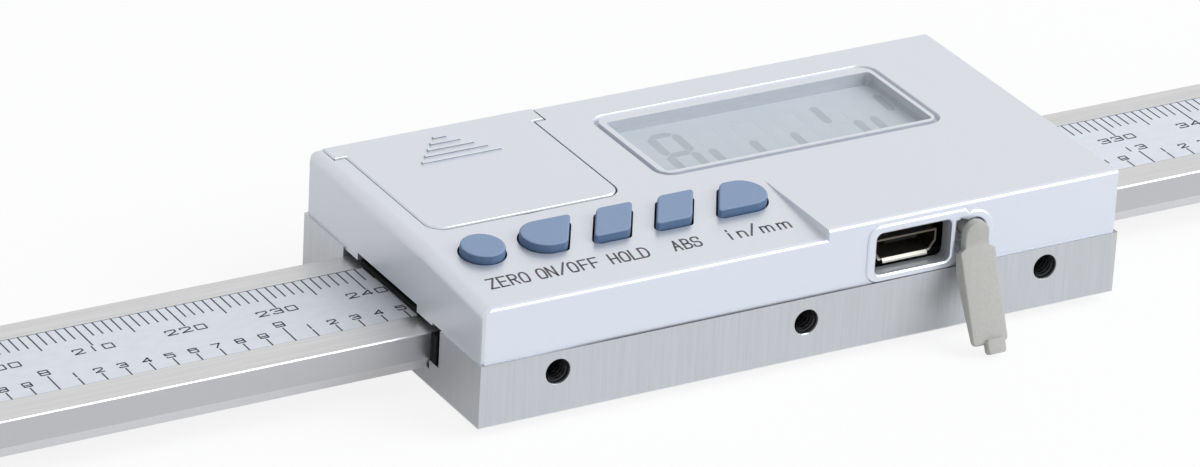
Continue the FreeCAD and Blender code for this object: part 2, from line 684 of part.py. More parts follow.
def leaning(half_width, reach):
    """A four-sided outline that leans to the right by the keys' slant."""
    lean = d.key_slant.value * reach
    corners = [Vector(-half_width - lean, -reach), Vector(half_width - lean, -reach),
               Vector(half_width + lean, reach), Vector(-half_width + lean, reach)]
    return Part.Face(Part.makePolygon(corners + corners[:1]))


def bullet_key(facing):
    """A key's outline with a round nose at the end it faces and a leaning side at the other."""
    tip = facing * d.bullet_length.value / 2
    nose_x = tip - facing * key_half_depth
    stops = [Vector(nose_x, -key_half_depth), Vector(-tip - key_lean, -key_half_depth),
             Vector(-tip + key_lean, key_half_depth), Vector(nose_x, key_half_depth)]
    sides = [Part.makeLine(one, other) for one, other in zip(stops, stops[1:])]
    nose = Part.Arc(stops[3], Vector(tip, 0), stops[0]).toShape()
    return rounded(Part.Face(Part.Wire(sides + [nose])))


KEYS = {
    "key_zero": (d.zero_x, round_key()),
    "key_power": (d.power_x, bullet_key(-1)),
    "key_hold": (d.hold_x, rounded(leaning(d.key_width.value / 2, key_half_depth))),
    "key_abs": (d.abs_x, rounded(leaning(d.key_width.value / 2, key_half_depth))),
    "key_unit": (d.unit_x, bullet_key(1)),
}


def raised(outline, low, high):
    """An outline between two heights above the panel."""
    block = outline.extrude(Vector(0, 0, high - low))
    block.translate(Vector(0, 0, low))
    return block


def on_panel(name, shape, x):
    """Set a shape square on the sloping panel."""
    feature = doc.addObject("Part::Feature", name)
    feature.Shape = shape
    feature.Placement = Placement(panel_point(x), Rotation(X_AXIS, slope)) * shape.Placement
    return feature


key_holes = []
key_top, lug_top, key_foot = d.key_proud.value, -d.key_body.value, -d.key_body.value - d.lug_height.value
for name, (x, outline) in KEYS.items():
    cap = raised(outline, key_foot, key_top)
    top_edges = [edge for edge in cap.Edges if near(edge.BoundBox.ZMin, key_top)]
    cap = cap.makeChamfer(d.key_edge.value, top_edges)
    lugs = raised(leaning(d.lug_width.value / 2, key_half_depth + d.lug_reach.value), key_foot, lug_top)
    finish(name, on_panel(name, cap.fuse(lugs).removeSplitter(), x))
    hole = raised(outline.makeOffset2D(d.key_gap.value), key_foot, key_top)
    key_holes.append(on_panel(f"{name}_hole", hole, x))

key_bay = box("key_bay", (inner_x[0], panel_end), (d.key_y - d.key_bay_front, d.key_y + d.key_bay_back),
              (cavity_top - d.running_fit, cavity_top + d.key_bay_height))

# The flap's seat: a blind slot beside the mouth, a hole through its floor for the stem, a bay for the bulb
flap_x = d.head_left + d.flap_x
bulb_bay = cylinder("bulb_bay", d.bulb_radius + d.bulb_room, d.bulb_length + d.board_gap, flap_x, inner_y[0],
                    d.flap_rise, Y_AXIS)
stem_hole = cylinder("stem_hole", d.stem_radius + d.seat_gap, d.housing_wall + d.running_fit,
                     flap_x, case_front, d.flap_rise, Y_AXIS)
stem_slot = body("stem_slot")
slot_floor = case_front + d.slot_depth
slot_x = (mouth_x[1] + d.rib_wall, flap_x + d.slot_side / 2)
slot_z = centred(d.flap_rise, d.slot_side)
pad(stem_slot, polygon(stem_slot, "XZ", -slot_floor, [
    (slot_x[0], slot_z[0] - d.slot_foot), (slot_x[0] + d.slot_foot / 2, slot_z[0] - d.slot_foot),
    (slot_x[0] + d.slot_foot, slot_z[0]), (slot_x[1], slot_z[0]), (slot_x[1], slot_z[1]),
    (slot_x[0], slot_z[1])]), slot_floor + d.running_fit - d.head_front)


def end_arch(name, x):
    """The raised opening over the film in one end wall."""
    return box(name, x, centred(d.arch_y, d.arch_width), (base_top - d.lip_drop, base_top + d.arch_rise))


left_wall = (case_left - d.running_fit, inner_x[0] + d.running_fit)
right_wall = (inner_x[1] - d.running_fit, case_right + d.running_fit)
lip_y = (-channel_side + d.running_fit, channel_side - d.running_fit)
lip_z = (base_top - d.lip_drop, base_top + d.running_fit)
lips = [box("lip_left", (case_left, inner_x[0]), lip_y, lip_z),
        box("lip_right", (inner_x[1], case_right), lip_y, lip_z)]
skin = doc.addObject("Part::Common", "housing_skin")
skin.Base = shell
skin.Tool = rounded_left
housing_cuts = fuse("housing_cuts", door_seat, runner_seat, contact_slot, key_bay, stem_slot, stem_hole,
                    bulb_bay, end_arch("arch_left", left_wall), end_arch("arch_right", right_wall),
                    *key_holes)
finish("housing", cut("housing", fuse("housing_blank", skin, bezel, *lips), housing_cuts))

# Display: the liquid-crystal glass, a clear lens over it that fills the window's foot, two rubber connectors
glass_bottom = glass_top - d.glass_thickness
finish("display_glass", box("display_glass", glass_x, glass_y, (glass_bottom, glass_top)))
lens = body("lens")
pad(lens, window_outline(lens, glass_top + d.running_fit, d.running_fit), d.lens_thickness)
finish("lens", lens)
for name, y in (("connector_strip_front", glass_y[0]), ("connector_strip_back", glass_y[1] - d.zebra_width)):
    strip_y = (y, y + d.zebra_width)
    finish(name, box(name, centred(window_x, d.zebra_length), strip_y, (board_top, glass_bottom)))

# Boards: the reader hangs over the film and ends in the two arches, the main board carries everything else
board_x = (inner_x[0] + d.board_gap, inner_x[1] - d.board_gap)
board_y = (inner_y[0] + d.board_gap, inner_y[1] - d.board_gap)
reader_bottom = beam_top + d.reader_gap
finish("reader_board", box("reader_board", (case_left + d.reader_end_gap, case_right - d.reader_end_gap),
                           centred(d.arch_y, d.reader_width),
                           (reader_bottom, reader_bottom + d.reader_thickness)))
board = body("main_board")
pad(board, rectangle(board, "XY", board_bottom, board_x, board_y), d.board_thickness)
for x, y in case_screw_places:
    notch = rectangle(board, "XY", board_top, centred(x, d.case_screw_room), centred(y, d.case_screw_room))
    pocket(board, notch, d.board_thickness)
finish("main_board", board)
header_z = (reader_bottom + d.reader_thickness, board_bottom)
finish("board_header", box("board_header", centred(head_middle, d.header_length),
                           centred(size(0), d.zebra_width), header_z))
finish("chip_cover", box("chip_cover", centred(window_x, d.chip_side), centred(d.window_y, d.chip_side),
                         (board_top, board_top + d.chip_height)))

# Rubber key mat with a dome under each key
mat_x = (board_x[0], panel_end)
mat_y = (d.key_y - d.mat_front, d.key_y + d.mat_back)
mat = box("mat_sheet", mat_x, mat_y, (board_top, board_top + d.mat_thickness))
domes = []
for name, (x, outline) in KEYS.items():
    domes.append(prism(f"{name}_dome", d.dome_sides, d.dome_radius, d.dome_height + d.mat_thickness,
                       d.head_left + x, d.key_y, board_top))
finish("key_mat", fuse("key_mat", mat, *domes))

# Coin cell: a wide can over a narrower lid, and the two strips that touch it
cell = body("coin_cell")
cell_middle = (door_x, d.cell_y)
cell_top = cell_bottom + d.cell_thickness
can_bottom = cell_bottom + d.cell_edge
pad(cell, circles(cell, "XY", cell_bottom, d.cell_radius - d.cell_rim, [cell_middle]), d.cell_thickness)
pad(cell, circles(cell, "XY", can_bottom, d.cell_radius, [cell_middle]), cell_top - can_bottom)
finish("coin_cell", cell)
contact_bottom = well_bottom + d.well_floor
finish("contact_negative", box("contact_negative", centred(door_x, d.contact_length),
                               centred(d.cell_y, d.contact_width / 2),
                               (contact_bottom, contact_bottom + d.contact_thickness)))
finish("contact_positive", box("contact_positive", (contact_x, contact_x + d.contact_thickness),
                               centred(d.cell_y, d.contact_width), (contact_bottom, cell_top)))

# Battery door: slides off backwards on two runners, with a triangle of grip ribs on top
door = door_blank("battery_door", size(0), case_top + d.door_proud)
pad(door, rectangle(door, "XY", door_bottom, centred(door_x, 2 * runner_half), runner_y), d.door_runner)
door_top = case_top + d.door_proud
soften(door, "Chamfer", d.door_edge, lambda edge: near(edge.BoundBox.ZMin, door_top))
for number in range(int(d.rib_count.value)):
    rib_x = centred(door_x, d.rib_length - number * d.rib_step)
    rib_y = centred(d.rib_first + number * d.rib_pitch, d.rib_width)
    pad(door, rectangle(door, "XY", door_top, rib_x, rib_y), d.rib_height)
finish("battery_door", door)

# Data port: a folded steel shell with chamfered lower corners and a flared lip, and the tongue inside it
port_x = d.head_left + d.port_x


def port_outline(owner, y, shrink):
    """The mouth's outline, wider at the top."""
    left, right = centred(port_x, d.port_width - 2 * shrink)
    low, high = centred(d.port_rise, d.port_height - 2 * shrink)
    shoulder = low + d.port_corner_rise
    return polygon(owner, "XZ", -y, [(left, high), (left, shoulder), (left + d.port_corner, low),
                                     (right - d.port_corner, low), (right, shoulder), (right, high)])


port = body("port_shell")
pad(port, port_outline(port, port_back, size(0)), d.port_depth)
pocket(port, port_outline(port, port_front, d.port_sheet), d.port_depth - d.port_sheet)
port_low = d.port_rise - d.port_height / 2
lip_front, lip_low = port_front - d.port_lip, port_low - d.port_lip
pad(port, polygon(port, "YZ", port_x - d.port_lip_width / 2, [
    (port_front + d.port_sheet, port_low), (port_front, port_low), (lip_front, lip_low),
    (lip_front, lip_low + d.port_sheet), (port_front, port_low + d.port_sheet),
    (port_front + d.port_sheet, port_low + d.port_sheet)]), d.port_lip_width)
finish("port_shell", port)
tongue_z = d.port_rise + d.port_sheet
finish("port_tongue", box("port_tongue", centred(port_x, d.tongue_width),
                          (port_front + d.port_corner, port_back - d.port_sheet),
                          (tongue_z, tongue_z + d.tongue_thickness)))

# Port flap: a rubber strap. The neck turns on its stem, the lid bends at the neck
flap_back = d.head_front - d.running_fit
flap_front = flap_back - d.flap_thickness
bend_y = flap_back - d.flap_thickness / 2
bend_z = d.flap_rise - d.bend_drop
neck_x = centred(flap_x, 2 * d.neck_radius)
neck_disc = cylinder("neck_disc", d.neck_radius, d.flap_thickness, flap_x, flap_front, d.flap_rise, Y_AXIS)
neck_strap = box("neck_strap", neck_x, (flap_front, flap_back), (bend_z, d.flap_rise))
neck_roll = cylinder("neck_roll", d.flap_thickness / 2, 2 * d.neck_radius, neck_x[0], bend_y, bend_z, X_AXIS)
stem = cylinder("flap_stem", d.stem_radius, d.stem_length, flap_x, flap_back, d.flap_rise, Y_AXIS)
bulb_front = inner_y[0] + d.door_gap
bulb = cylinder("flap_bulb", d.bulb_radius, d.bulb_length, flap_x, bulb_front, d.flap_rise, Y_AXIS)
finish("flap_neck", fuse("flap_neck", neck_disc, neck_strap, neck_roll, stem, bulb))

lid = body("flap_lid")
half_thick = d.flap_thickness / 2
lid_end = -d.lid_start - d.lid_length
lid_z = (lid_end, -d.lid_start)
pad(lid, rectangle(lid, "XZ", -half_thick, centred(size(0), d.lid_width), lid_z), d.flap_thickness)
soften(lid, "Fillet", d.lid_corner, lambda edge: along(edge, Y_AXIS))
tab_right = d.lid_width / 2 - d.tab_inset
tab_z = (lid_end - d.tab_length, lid_end + d.tab_lap)
pad(lid, rectangle(lid, "XZ", 0, (tab_right - d.tab_width, tab_right), tab_z), d.flap_thickness)
pad(lid, rectangle(lid, "XZ", -half_thick - d.plug_thickness, centred(size(0), d.plug_width),
                   (-d.plug_start - d.plug_length, -d.plug_start)), d.plug_thickness)
turn(at(lid, flap_x, bend_y, bend_z), X_AXIS, -d.lid_tilt)
finish("flap_lid", lid)

doc.recompute()
for obj in doc.Objects:
    if "Invalid" in obj.State or "Error" in obj.State:
        raise RuntimeError(f"{obj.Name} failed: {obj.State}")
for label, obj in subparts.items():
    if obj.Shape.isNull() or not obj.Shape.isValid() or not obj.Shape.Solids:
        raise RuntimeError(f"{label} has no valid solid")

os.makedirs("parts", exist_ok=True)
for label, obj in subparts.items():
    obj.Shape.exportStep(f"parts/{label}.step")
    bounds = obj.Shape.BoundBox
    print(f"{label}: {len(obj.Shape.Solids)} solid, {obj.Shape.Volume:.1f} mm3, "
          f"X {bounds.XMin:.2f} to {bounds.XMax:.2f}, Y {bounds.YMin:.2f} to {bounds.YMax:.2f}, "
          f"Z {bounds.ZMin:.2f} to {bounds.ZMax:.2f}")
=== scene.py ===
# %% [markdown]
# A digital linear scale: a graduated steel beam, and a reading head that slides along it.
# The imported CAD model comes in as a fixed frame, so every solid already sits where it belongs.
# This lesson gives each solid its finish, and works out new surfaces where the real piece is
# printed, soft or more finely rounded than its solid. All of them stay inside the CAD box.

# %% Load the frame
import math

import bpy
import numpy as np
from mathutils import Matrix, Vector


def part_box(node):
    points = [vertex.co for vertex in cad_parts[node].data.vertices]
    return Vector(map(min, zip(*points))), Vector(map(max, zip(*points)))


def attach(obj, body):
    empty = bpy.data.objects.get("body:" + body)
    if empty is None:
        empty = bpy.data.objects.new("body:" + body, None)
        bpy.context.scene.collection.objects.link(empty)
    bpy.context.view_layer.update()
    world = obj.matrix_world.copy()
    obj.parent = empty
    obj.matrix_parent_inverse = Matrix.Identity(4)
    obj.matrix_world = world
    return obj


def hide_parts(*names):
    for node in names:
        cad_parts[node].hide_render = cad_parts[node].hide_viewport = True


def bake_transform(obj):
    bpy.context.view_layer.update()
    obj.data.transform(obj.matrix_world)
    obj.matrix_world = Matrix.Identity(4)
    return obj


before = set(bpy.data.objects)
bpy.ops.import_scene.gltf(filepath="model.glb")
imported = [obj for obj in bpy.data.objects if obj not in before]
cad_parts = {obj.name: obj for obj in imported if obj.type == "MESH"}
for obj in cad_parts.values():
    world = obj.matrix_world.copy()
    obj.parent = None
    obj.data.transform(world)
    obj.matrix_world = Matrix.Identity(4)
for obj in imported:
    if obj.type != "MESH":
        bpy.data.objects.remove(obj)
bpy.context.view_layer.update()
MM = 0.001

# %% [markdown]
# The photograph is taken from the front left and from above, with a long lens: the beam's edges
# hardly converge. The camera could be placed by eye, but the ruler's marks give it exactly.
# Its direction is two angles, and a small roll, because the scale doesn't lie quite level in it.

# %% Camera
TARGET = Vector((75.78, 0.0, 8.8)) * MM
AZIMUTH, ELEVATION, ROLL = math.radians(-31.023), math.radians(25.945), math.radians(3.207)
DISTANCE = 629.27 * MM
LENS, SENSOR = 186.59, 36.0


def camera_matrix(target, azimuth, elevation, roll, distance):
    """The view axis points back from the target; right is level, then both turn by the roll."""
    flat = math.cos(elevation)
    back = Vector((math.sin(azimuth) * flat, -math.cos(azimuth) * flat, math.sin(elevation)))
    level = Vector((0, 0, 1)).cross(back).normalized()
    raised = back.cross(level)
    right = math.cos(roll) * level + math.sin(roll) * raised
    up = math.cos(roll) * raised - math.sin(roll) * level
    turned = Matrix((right, up, back)).transposed().to_4x4()
    return Matrix.Translation(target + distance * back) @ turned


scene = bpy.context.scene
camera_data = bpy.data.cameras.new("photo_camera")
camera_data.lens, camera_data.sensor_width, camera_data.sensor_fit = LENS, SENSOR, "HORIZONTAL"
camera = bpy.data.objects.new("photo_camera", camera_data)
camera.matrix_world = camera_matrix(TARGET, AZIMUTH, ELEVATION, ROLL, DISTANCE)
scene.collection.objects.link(camera)
scene.camera = camera
scene.view_settings.view_transform = "Standard"
print("camera stands at", [round(c / MM) for c in camera.matrix_world.translation], "mm")

# %% [markdown]
# A finish is a small network of nodes. Written out node by node it is hard to read, so one class
# wraps a socket: sums and products of wires add their Math nodes, and any other node comes from
# one method, which sets the node's own settings first and then its sockets.

# %% Shader arithmetic
class Wire:
    """One socket of a node tree; arithmetic on wires and numbers adds Math nodes."""

    def __init__(self, tree, socket=None):
        self.tree, self.socket = tree, socket

    def node(self, kind, settings=None, sockets=None, output=0):
        """Adds a node: its settings, then its sockets' values or links. Returns one output."""
        made = self.tree.nodes.new(kind)
        for name, value in (settings or {}).items():
            setattr(made, name, value)
        for key, value in (sockets or {}).items():
            if isinstance(value, Wire):
                self.tree.links.new(value.socket, made.inputs[key])
            else:
                made.inputs[key].default_value = value
        return Wire(self.tree, made.outputs[output] if made.outputs else None)

    def math(self, operation, first, second):
        return self.node("ShaderNodeMath", {"operation": operation}, {0: first, 1: second})

    def __add__(self, other):
        return self.math("ADD", self, other)

    def __sub__(self, other):
        return self.math("SUBTRACT", self, other)

    def __rsub__(self, other):
        return self.math("SUBTRACT", other, self)

    def __mul__(self, other):
        return self.math("MULTIPLY", self, other)

    __radd__, __rmul__ = __add__, __mul__


def srgb(red, green, blue):
    """A colour given as it looks on a screen, 0 to 255, as the linear values that shaders use."""
    share = np.array([red, green, blue]) / 255
    linear = np.where(share <= 0.04045, share / 12.92, ((share + 0.055) / 1.055) ** 2.4)
    return (*linear.tolist(), 1.0)


print("a mid grey of 128 is", round(srgb(128, 128, 128)[0], 3), "in linear light")

# %% [markdown]
# Every finish starts the same way: a Principled shader with its constant values, and the place on
# the object. Fine grain is noise; brushing is the same noise, squeezed a hundred times tighter
# across the strokes than along them. Both are in real sizes, because Object coordinates are metres.

# %% Finish helpers
def new_finish(name, constants):
    """A material with these constant shader values; returns it, its shader and a first wire."""
    material = bpy.data.materials.new(name)
    material.use_nodes = True
    shader = material.node_tree.nodes["Principled BSDF"]
    for socket, value in constants.items():
        shader.inputs[socket].default_value = value
    return material, shader, Wire(material.node_tree)


def feed(shader, wires):
    """Links wires to the shader's sockets."""
    for socket, wire in wires.items():
        wire.tree.links.new(wire.socket, shader.inputs[socket])


def grain(wire, size, detail=2.0):
    """Noise from 0 to 1, its grains about this many mm; three sizes stretch it along an axis."""
    sizes = np.broadcast_to(np.array(size, float), 3) * MM
    place = wire.node("ShaderNodeTexCoord", output="Object")
    stretched = wire.node("ShaderNodeMapping", {"vector_type": "POINT"},
                          {"Vector": place, "Scale": (1 / sizes).tolist()})
    return wire.node("ShaderNodeTexNoise", {"noise_dimensions": "3D"},
                     {"Vector": stretched, "Scale": 1.0, "Detail": detail})


# A Mix node has a set of sockets for each kind of data; these are the ones for colours
MIX_FACTOR, MIX_FIRST, MIX_SECOND, MIX_RESULT = 0, 6, 7, 2


def between(wire, factor, first, second):
    """A mix of two colours, or of wires that carry them."""
    return wire.node("ShaderNodeMix", {"data_type": "RGBA"},
                     {MIX_FACTOR: factor, MIX_FIRST: first, MIX_SECOND: second}, MIX_RESULT)


def smooth_rise(wire, value, low, high):
    """0 where the value is below low, 1 where it is above high, and a smooth step between."""
    return wire.node("ShaderNodeMapRange", {"interpolation_type": "SMOOTHSTEP"},
                     {"Value": value, "From Min": low, "From Max": high})


def within(wire, ranges):
    """1 where the place, in mm, lies in the range of every axis named, else 0, with soft ends."""
    place = wire.node("ShaderNodeTexCoord", output="Object")
    mask = 1.0
    for axis, (low, high, soft) in ranges.items():
        value = wire.node("ShaderNodeSeparateXYZ", {}, {"Vector": place}, output=axis)
        rise, fall = (smooth_rise(wire, value, (end - soft) * MM, (end + soft) * MM)
                      for end in (low, high))
        mask = mask * (rise - fall)
    return mask


def shaded(wire, colour, shades):
    """A colour with others laid over it, each inside its own ranges."""
    for ranges, shade in shades:
        colour = between(wire, within(wire, ranges), colour, shade)
    return colour


def relief(wire, height, depth, strength=0.3):
    """A normal that makes the height, 0 to 1, look this many mm deep."""
    return wire.node("ShaderNodeBump", {},
                     {"Height": height, "Distance": depth * MM, "Strength": strength})


print("finish helpers are ready")

# %% [markdown]
# The studio is a pale floor and soft light. A product picture lights its white background apart,
# so that it turns pure white. Here the floor does that itself: to the camera it is mostly a white
# glow, with enough plain paper mixed in to keep the object's shadow. Steel mirrors more of the
# plain paper, so that a side turned away from the lamp reflects the shaded floor and comes out
# darker.

# %% Floor
FLOOR_HALF = 2.5
PAPER = srgb(240, 240, 240)
GLOW_SHARE, MIRROR_SHARE = 0.85, 0.27


def ray_kinds(wire):
    """Three wires, each 1 for its own kind of ray: camera, mirror and glass."""
    return [wire.node("ShaderNodeLightPath", output=kind)
            for kind in ("Is Camera Ray", "Is Glossy Ray", "Is Transmission Ray")]


def studio_floor():
    """A square white sheet under the feet, glowing for camera and glass rays, less in mirrors."""
    mesh = bpy.data.meshes.new("studio_floor")
    corners = np.array([(-1, -1, 0), (1, -1, 0), (1, 1, 0), (-1, 1, 0)]) * FLOOR_HALF
    mesh.from_pydata(corners.tolist(), [], [(0, 1, 2, 3)])
    floor = bpy.data.objects.new("studio_floor", mesh)
    scene.collection.objects.link(floor)
    material = bpy.data.materials.new("white_paper")
    material.use_nodes = True
    material.node_tree.nodes.clear()
    wire = Wire(material.node_tree)
    paper = wire.node("ShaderNodeBsdfDiffuse", {}, {"Color": PAPER})
    glow = wire.node("ShaderNodeEmission", {}, {"Strength": 1.0})
    seen, mirrored, through = ray_kinds(wire)
    share = GLOW_SHARE * wire.math("MAXIMUM", seen, through) + MIRROR_SHARE * mirrored
    mixed = wire.node("ShaderNodeMixShader", {}, {0: share, 1: paper, 2: glow})
    wire.node("ShaderNodeOutputMaterial", {}, {"Surface": mixed})
    mesh.materials.append(material)


studio_floor()
print("floor is", 2 * FLOOR_HALF, "m wide")

# %% [markdown]
# One large soft box and a pale room. The box hangs over the right front, a little cool, so that the
# front of the head is as bright as its top and the left end falls off into shade. The room fills
# the shadows.

# %% Lights
ROOM = 0.6
BOX_PLACE, BOX_SIDE = (0.99, -0.64, 0.85), 1.24
BOX_WATTS, BOX_TINT = 17.6, (0.94, 0.97, 1.0)


def softbox(name, place, side, watts, tint):
    """A square lamp at a place in metres that faces the middle of the head."""
    lamp = bpy.data.lights.new(name, "AREA")
    lamp.shape, lamp.size, lamp.energy, lamp.color = "SQUARE", side, watts, tint
    box = bpy.data.objects.new(name, lamp)
    box.location = place
    box.rotation_euler = (TARGET - Vector(place)).to_track_quat("-Z", "Y").to_euler()
    scene.collection.objects.link(box)


def pale_room(strength):
    """A world that lights at this strength and looks white to camera, mirror and glass rays."""
    world = bpy.data.worlds.new("pale_room")
    world.use_nodes = True
    world.node_tree.nodes.clear()
    wire = Wire(world.node_tree)
    seen, mirrored, through = ray_kinds(wire)
    bare = wire.math("MAXIMUM", wire.math("MAXIMUM", seen, mirrored), through)
    level = strength + (1 - strength) * bare
    sky = wire.node("ShaderNodeBackground", {}, {"Color": (1, 1, 1, 1), "Strength": level})
    wire.node("ShaderNodeOutputWorld", {}, {"Surface": sky})
    scene.world = world


softbox("front_softbox", BOX_PLACE, BOX_SIDE, BOX_WATTS, BOX_TINT)
pale_room(ROOM)
print("lights:", [lamp.name for lamp in bpy.data.lights])

# %% [markdown]
# The housing and the battery door are moulded plastic under silver lacquer. The lacquer holds fine
# metal flakes, and its skin is very slightly wavy. A fully metallic shader would mirror the room
# too strongly, so it is part of the way, with a thin clear coat. Shade is painted into its colour
# in the groove and on the walls of the window, at the feet of the door's ribs, below the door's
# front edge and on the fronts of its ears, and there it is more matt too. On the front wall a
# painted reflection of the bright floor makes it pale and a little blue.

# %% Silver lacquer
CRISP = 0.01
# Painted shade: the window's groove and walls, the rib feet, the door's lip and its ears' fronts
DISPLAY_GROOVE_SHADE = {"X": (81.0, 116.2, CRISP), "Y": (-2.4, 13.9, CRISP), "Z": (13.0, 14.8, CRISP)}
RIB_FEET_SHADOW = {"Z": (14.97, 15.09, 0.02)}
DOOR_LIP_SHADE = {"X": (55.6, 74.8, 0.8), "Y": (-3.85, -3.45, CRISP), "Z": (14.0, 14.9, CRISP)}
EAR_FRONT_SHADES = [{"X": ear + (CRISP,), "Y": (14.8, 15.1, CRISP), "Z": (14.0, 14.92, CRISP)}
              for ear in ((53.0, 54.4), (76.0, 77.4))]
# Painted light: the front wall is pale and blue, a painted reflection of the bright floor
FRONT_WALL_LIGHT = {"Y": (-19.7, -18.8, 0.1)}
PAINTED_SHADES = ((DISPLAY_GROOVE_SHADE, srgb(198, 202, 209)), (RIB_FEET_SHADOW, srgb(146, 149, 155)),
              (DOOR_LIP_SHADE, srgb(172, 175, 181)),
              *((front, srgb(160, 163, 169)) for front in EAR_FRONT_SHADES))
PAINTED_FRONT_LIGHT = (FRONT_WALL_LIGHT, srgb(219, 225, 235))


def silver_lacquer():
    """Flakes between two silvers, with painted shade and painted light laid over them."""
    material, shader, wire = new_finish("silver_lacquer", {
        "Metallic": 0.7, "Coat Weight": 0.1, "Coat Roughness": 0.25})
    flakes, skin = grain(wire, 0.05, 1.0), grain(wire, 0.6)
    sprayed = between(wire, flakes, srgb(201, 205, 212), srgb(225, 228, 234))
    painted_shade_mask = sum(within(wire, ranges) for ranges, _ in PAINTED_SHADES)
    feed(shader, {
        "Base Color": shaded(wire, sprayed, (*PAINTED_SHADES, PAINTED_FRONT_LIGHT)),
        "Roughness": 0.28 + 0.14 * flakes + 0.3 * painted_shade_mask,
        "Normal": relief(wire, skin, 0.01, 0.15)})
    return material


silver = silver_lacquer()
print("made", silver.name)

# %% [markdown]
# Steel is ground, and the grinding leaves fine parallel strokes: along the beam, upright on the
# base. The strokes are noise stretched along one axis. They change the tone, the gloss and, a
# little, the normal. Shade is painted on the base's top ledge, in the seam under the housing,
# darkest in the middle of its length, and on the rims of its tapped holes; a highlight is painted
# along its lower edge. On the beam, shade is painted on the front and the edge above it, and
# light on its lower bevel.

# %% Brushed steel
METAL = {"Metallic": 1.0}
# Painted shade on the base's top ledge in the seam, darkest in the middle of its length
LEDGE_SHADE = {"X": (51.65, 126.0, CRISP), "Z": (7.9, 8.2, CRISP)}
LEDGE_MIDDLE_SHADE = {"X": (62.0, 97.0, 5.0), "Z": (7.9, 8.2, CRISP)}
# A painted highlight along the base's lower edge
LOW_EDGE_HIGHLIGHT = {"Z": (1.0, 1.2, CRISP)}
# Painted shade on the rims and first walls of the tapped holes
HOLE_RIM_SHADE = {"X": (52.0, 125.0, CRISP), "Y": (-19.59, -19.0, 0.005), "Z": (3.9, 7.3, CRISP)}
# On the beam, painted shade on the front and its top edge, painted light on its lower bevel
BEAM_FRONT_SHADE, BEAM_BEVEL_LIGHT = {"Y": (-9.3, -9.2, CRISP)}, {"Z": (3.0, 4.09, CRISP)}
BEAM_EDGE_SHADE = {"Y": (-9.3, -9.14, CRISP), "Z": (6.84, 7.0, CRISP)}
BROADER, FINE_SHARE = 6, 0.7


def brushed_steel(name, stroke, dark, light, shades=()):
    """Steel with strokes of three sizes in mm, longest along the grinding, and painted light and
    shade.
    """
    material, shader, wire = new_finish(name, METAL)
    strokes, broad = grain(wire, stroke, 3.0), grain(wire, np.array(stroke) * BROADER)
    tone = FINE_SHARE * strokes + (1 - FINE_SHARE) * broad
    feed(shader, {
        "Base Color": shaded(wire, between(wire, tone, dark, light), shades),
        "Roughness": 0.28 + 0.2 * strokes,
        "Normal": relief(wire, strokes, 0.004, 0.25)})
    return material


beam_steel = brushed_steel(
    "beam_steel", (9.0, 0.07, 0.07), srgb(182, 181, 181), srgb(228, 228, 229),
    ((BEAM_FRONT_SHADE, srgb(194, 194, 197)), (BEAM_BEVEL_LIGHT, srgb(216, 216, 218)),
     (BEAM_EDGE_SHADE, srgb(200, 200, 202))))
base_steel = brushed_steel(
    "base_steel", (0.06, 0.06, 5.0), srgb(182, 184, 188), srgb(214, 216, 220),
    ((LEDGE_SHADE, srgb(160, 162, 166)), (LEDGE_MIDDLE_SHADE, srgb(84, 83, 84)),
     (LOW_EDGE_HIGHLIGHT, srgb(238, 238, 238)), (HOLE_RIM_SHADE, srgb(84, 85, 88))))
foot_steel = brushed_steel(
    "foot_steel", (0.07, 7.0, 0.07), srgb(168, 169, 171), srgb(214, 215, 217))
screw_steel = brushed_steel(
    "screw_steel", (0.1, 0.1, 0.3), srgb(150, 151, 154), srgb(205, 206, 209))
print("made four steels")

# %% [markdown]
# The remaining finishes are plainer, but none is a single colour: moulded black plastic has a fine
# grain, boards show the glass cloth under their lacquer, rubber is matt with a dusty bloom.

# %% Grained finishes
def grained(name, dark, light, size, rough, constants=None, depth=0.01, shades=()):
    """A finish that varies between two colours and, with them, in roughness and height."""
    material, shader, wire = new_finish(name, constants or {})
    speckle = grain(wire, size, 3.0)
    feed(shader, {
        "Base Color": shaded(wire, between(wire, speckle, dark, light), shades),
        "Roughness": rough[0] + (rough[1] - rough[0]) * speckle,
        "Normal": relief(wire, speckle, depth)})
    return material


DULL = {"Specular IOR Level": 0.15}
# A painted shadow along the film's front edge; the port shell is darker and browner over its top
FILM_FRONT_SHADOW, SHELL_TOP = {"Y": (-5.5, -5.37, CRISP)}, {"Z": (9.6, 12.0, 0.1)}
film_satin = grained("film_satin", srgb(203, 208, 217), srgb(219, 223, 231), (1.5, 0.8, 0.8),
                     (0.3, 0.42), shades=((FILM_FRONT_SHADOW, srgb(150, 152, 158)),))
print_ink = grained("print_ink", srgb(34, 32, 36), srgb(56, 53, 57), 0.15, (0.5, 0.7))
legend_ink = grained("legend_ink", srgb(60, 57, 61), srgb(84, 80, 84), 0.15, (0.5, 0.7))
black_plastic = grained("black_plastic", srgb(10, 10, 11), srgb(26, 26, 28), 0.12,
                        (0.5, 0.7), DULL)
black_board = grained("black_board", srgb(6, 7, 7), srgb(18, 20, 20), (0.5, 0.06, 0.3),
                      (0.6, 0.8), DULL)
grid_board = grained("grid_board", srgb(150, 120, 60), srgb(196, 164, 96), (0.3, 8.0, 1.0),
                     (0.3, 0.45), METAL)
mat_rubber = grained("mat_rubber", srgb(150, 154, 158), srgb(174, 178, 182), 0.4, (0.55, 0.75))
strip_rubber = grained("strip_rubber", srgb(38, 36, 38), srgb(206, 150, 160), (0.12, 3.0, 3.0),
                       (0.5, 0.7))
cell_steel = grained("cell_steel", srgb(184, 186, 190), srgb(206, 208, 212), (5.0, 0.4, 2.0),
                     (0.25, 0.35), METAL, depth=0.001)
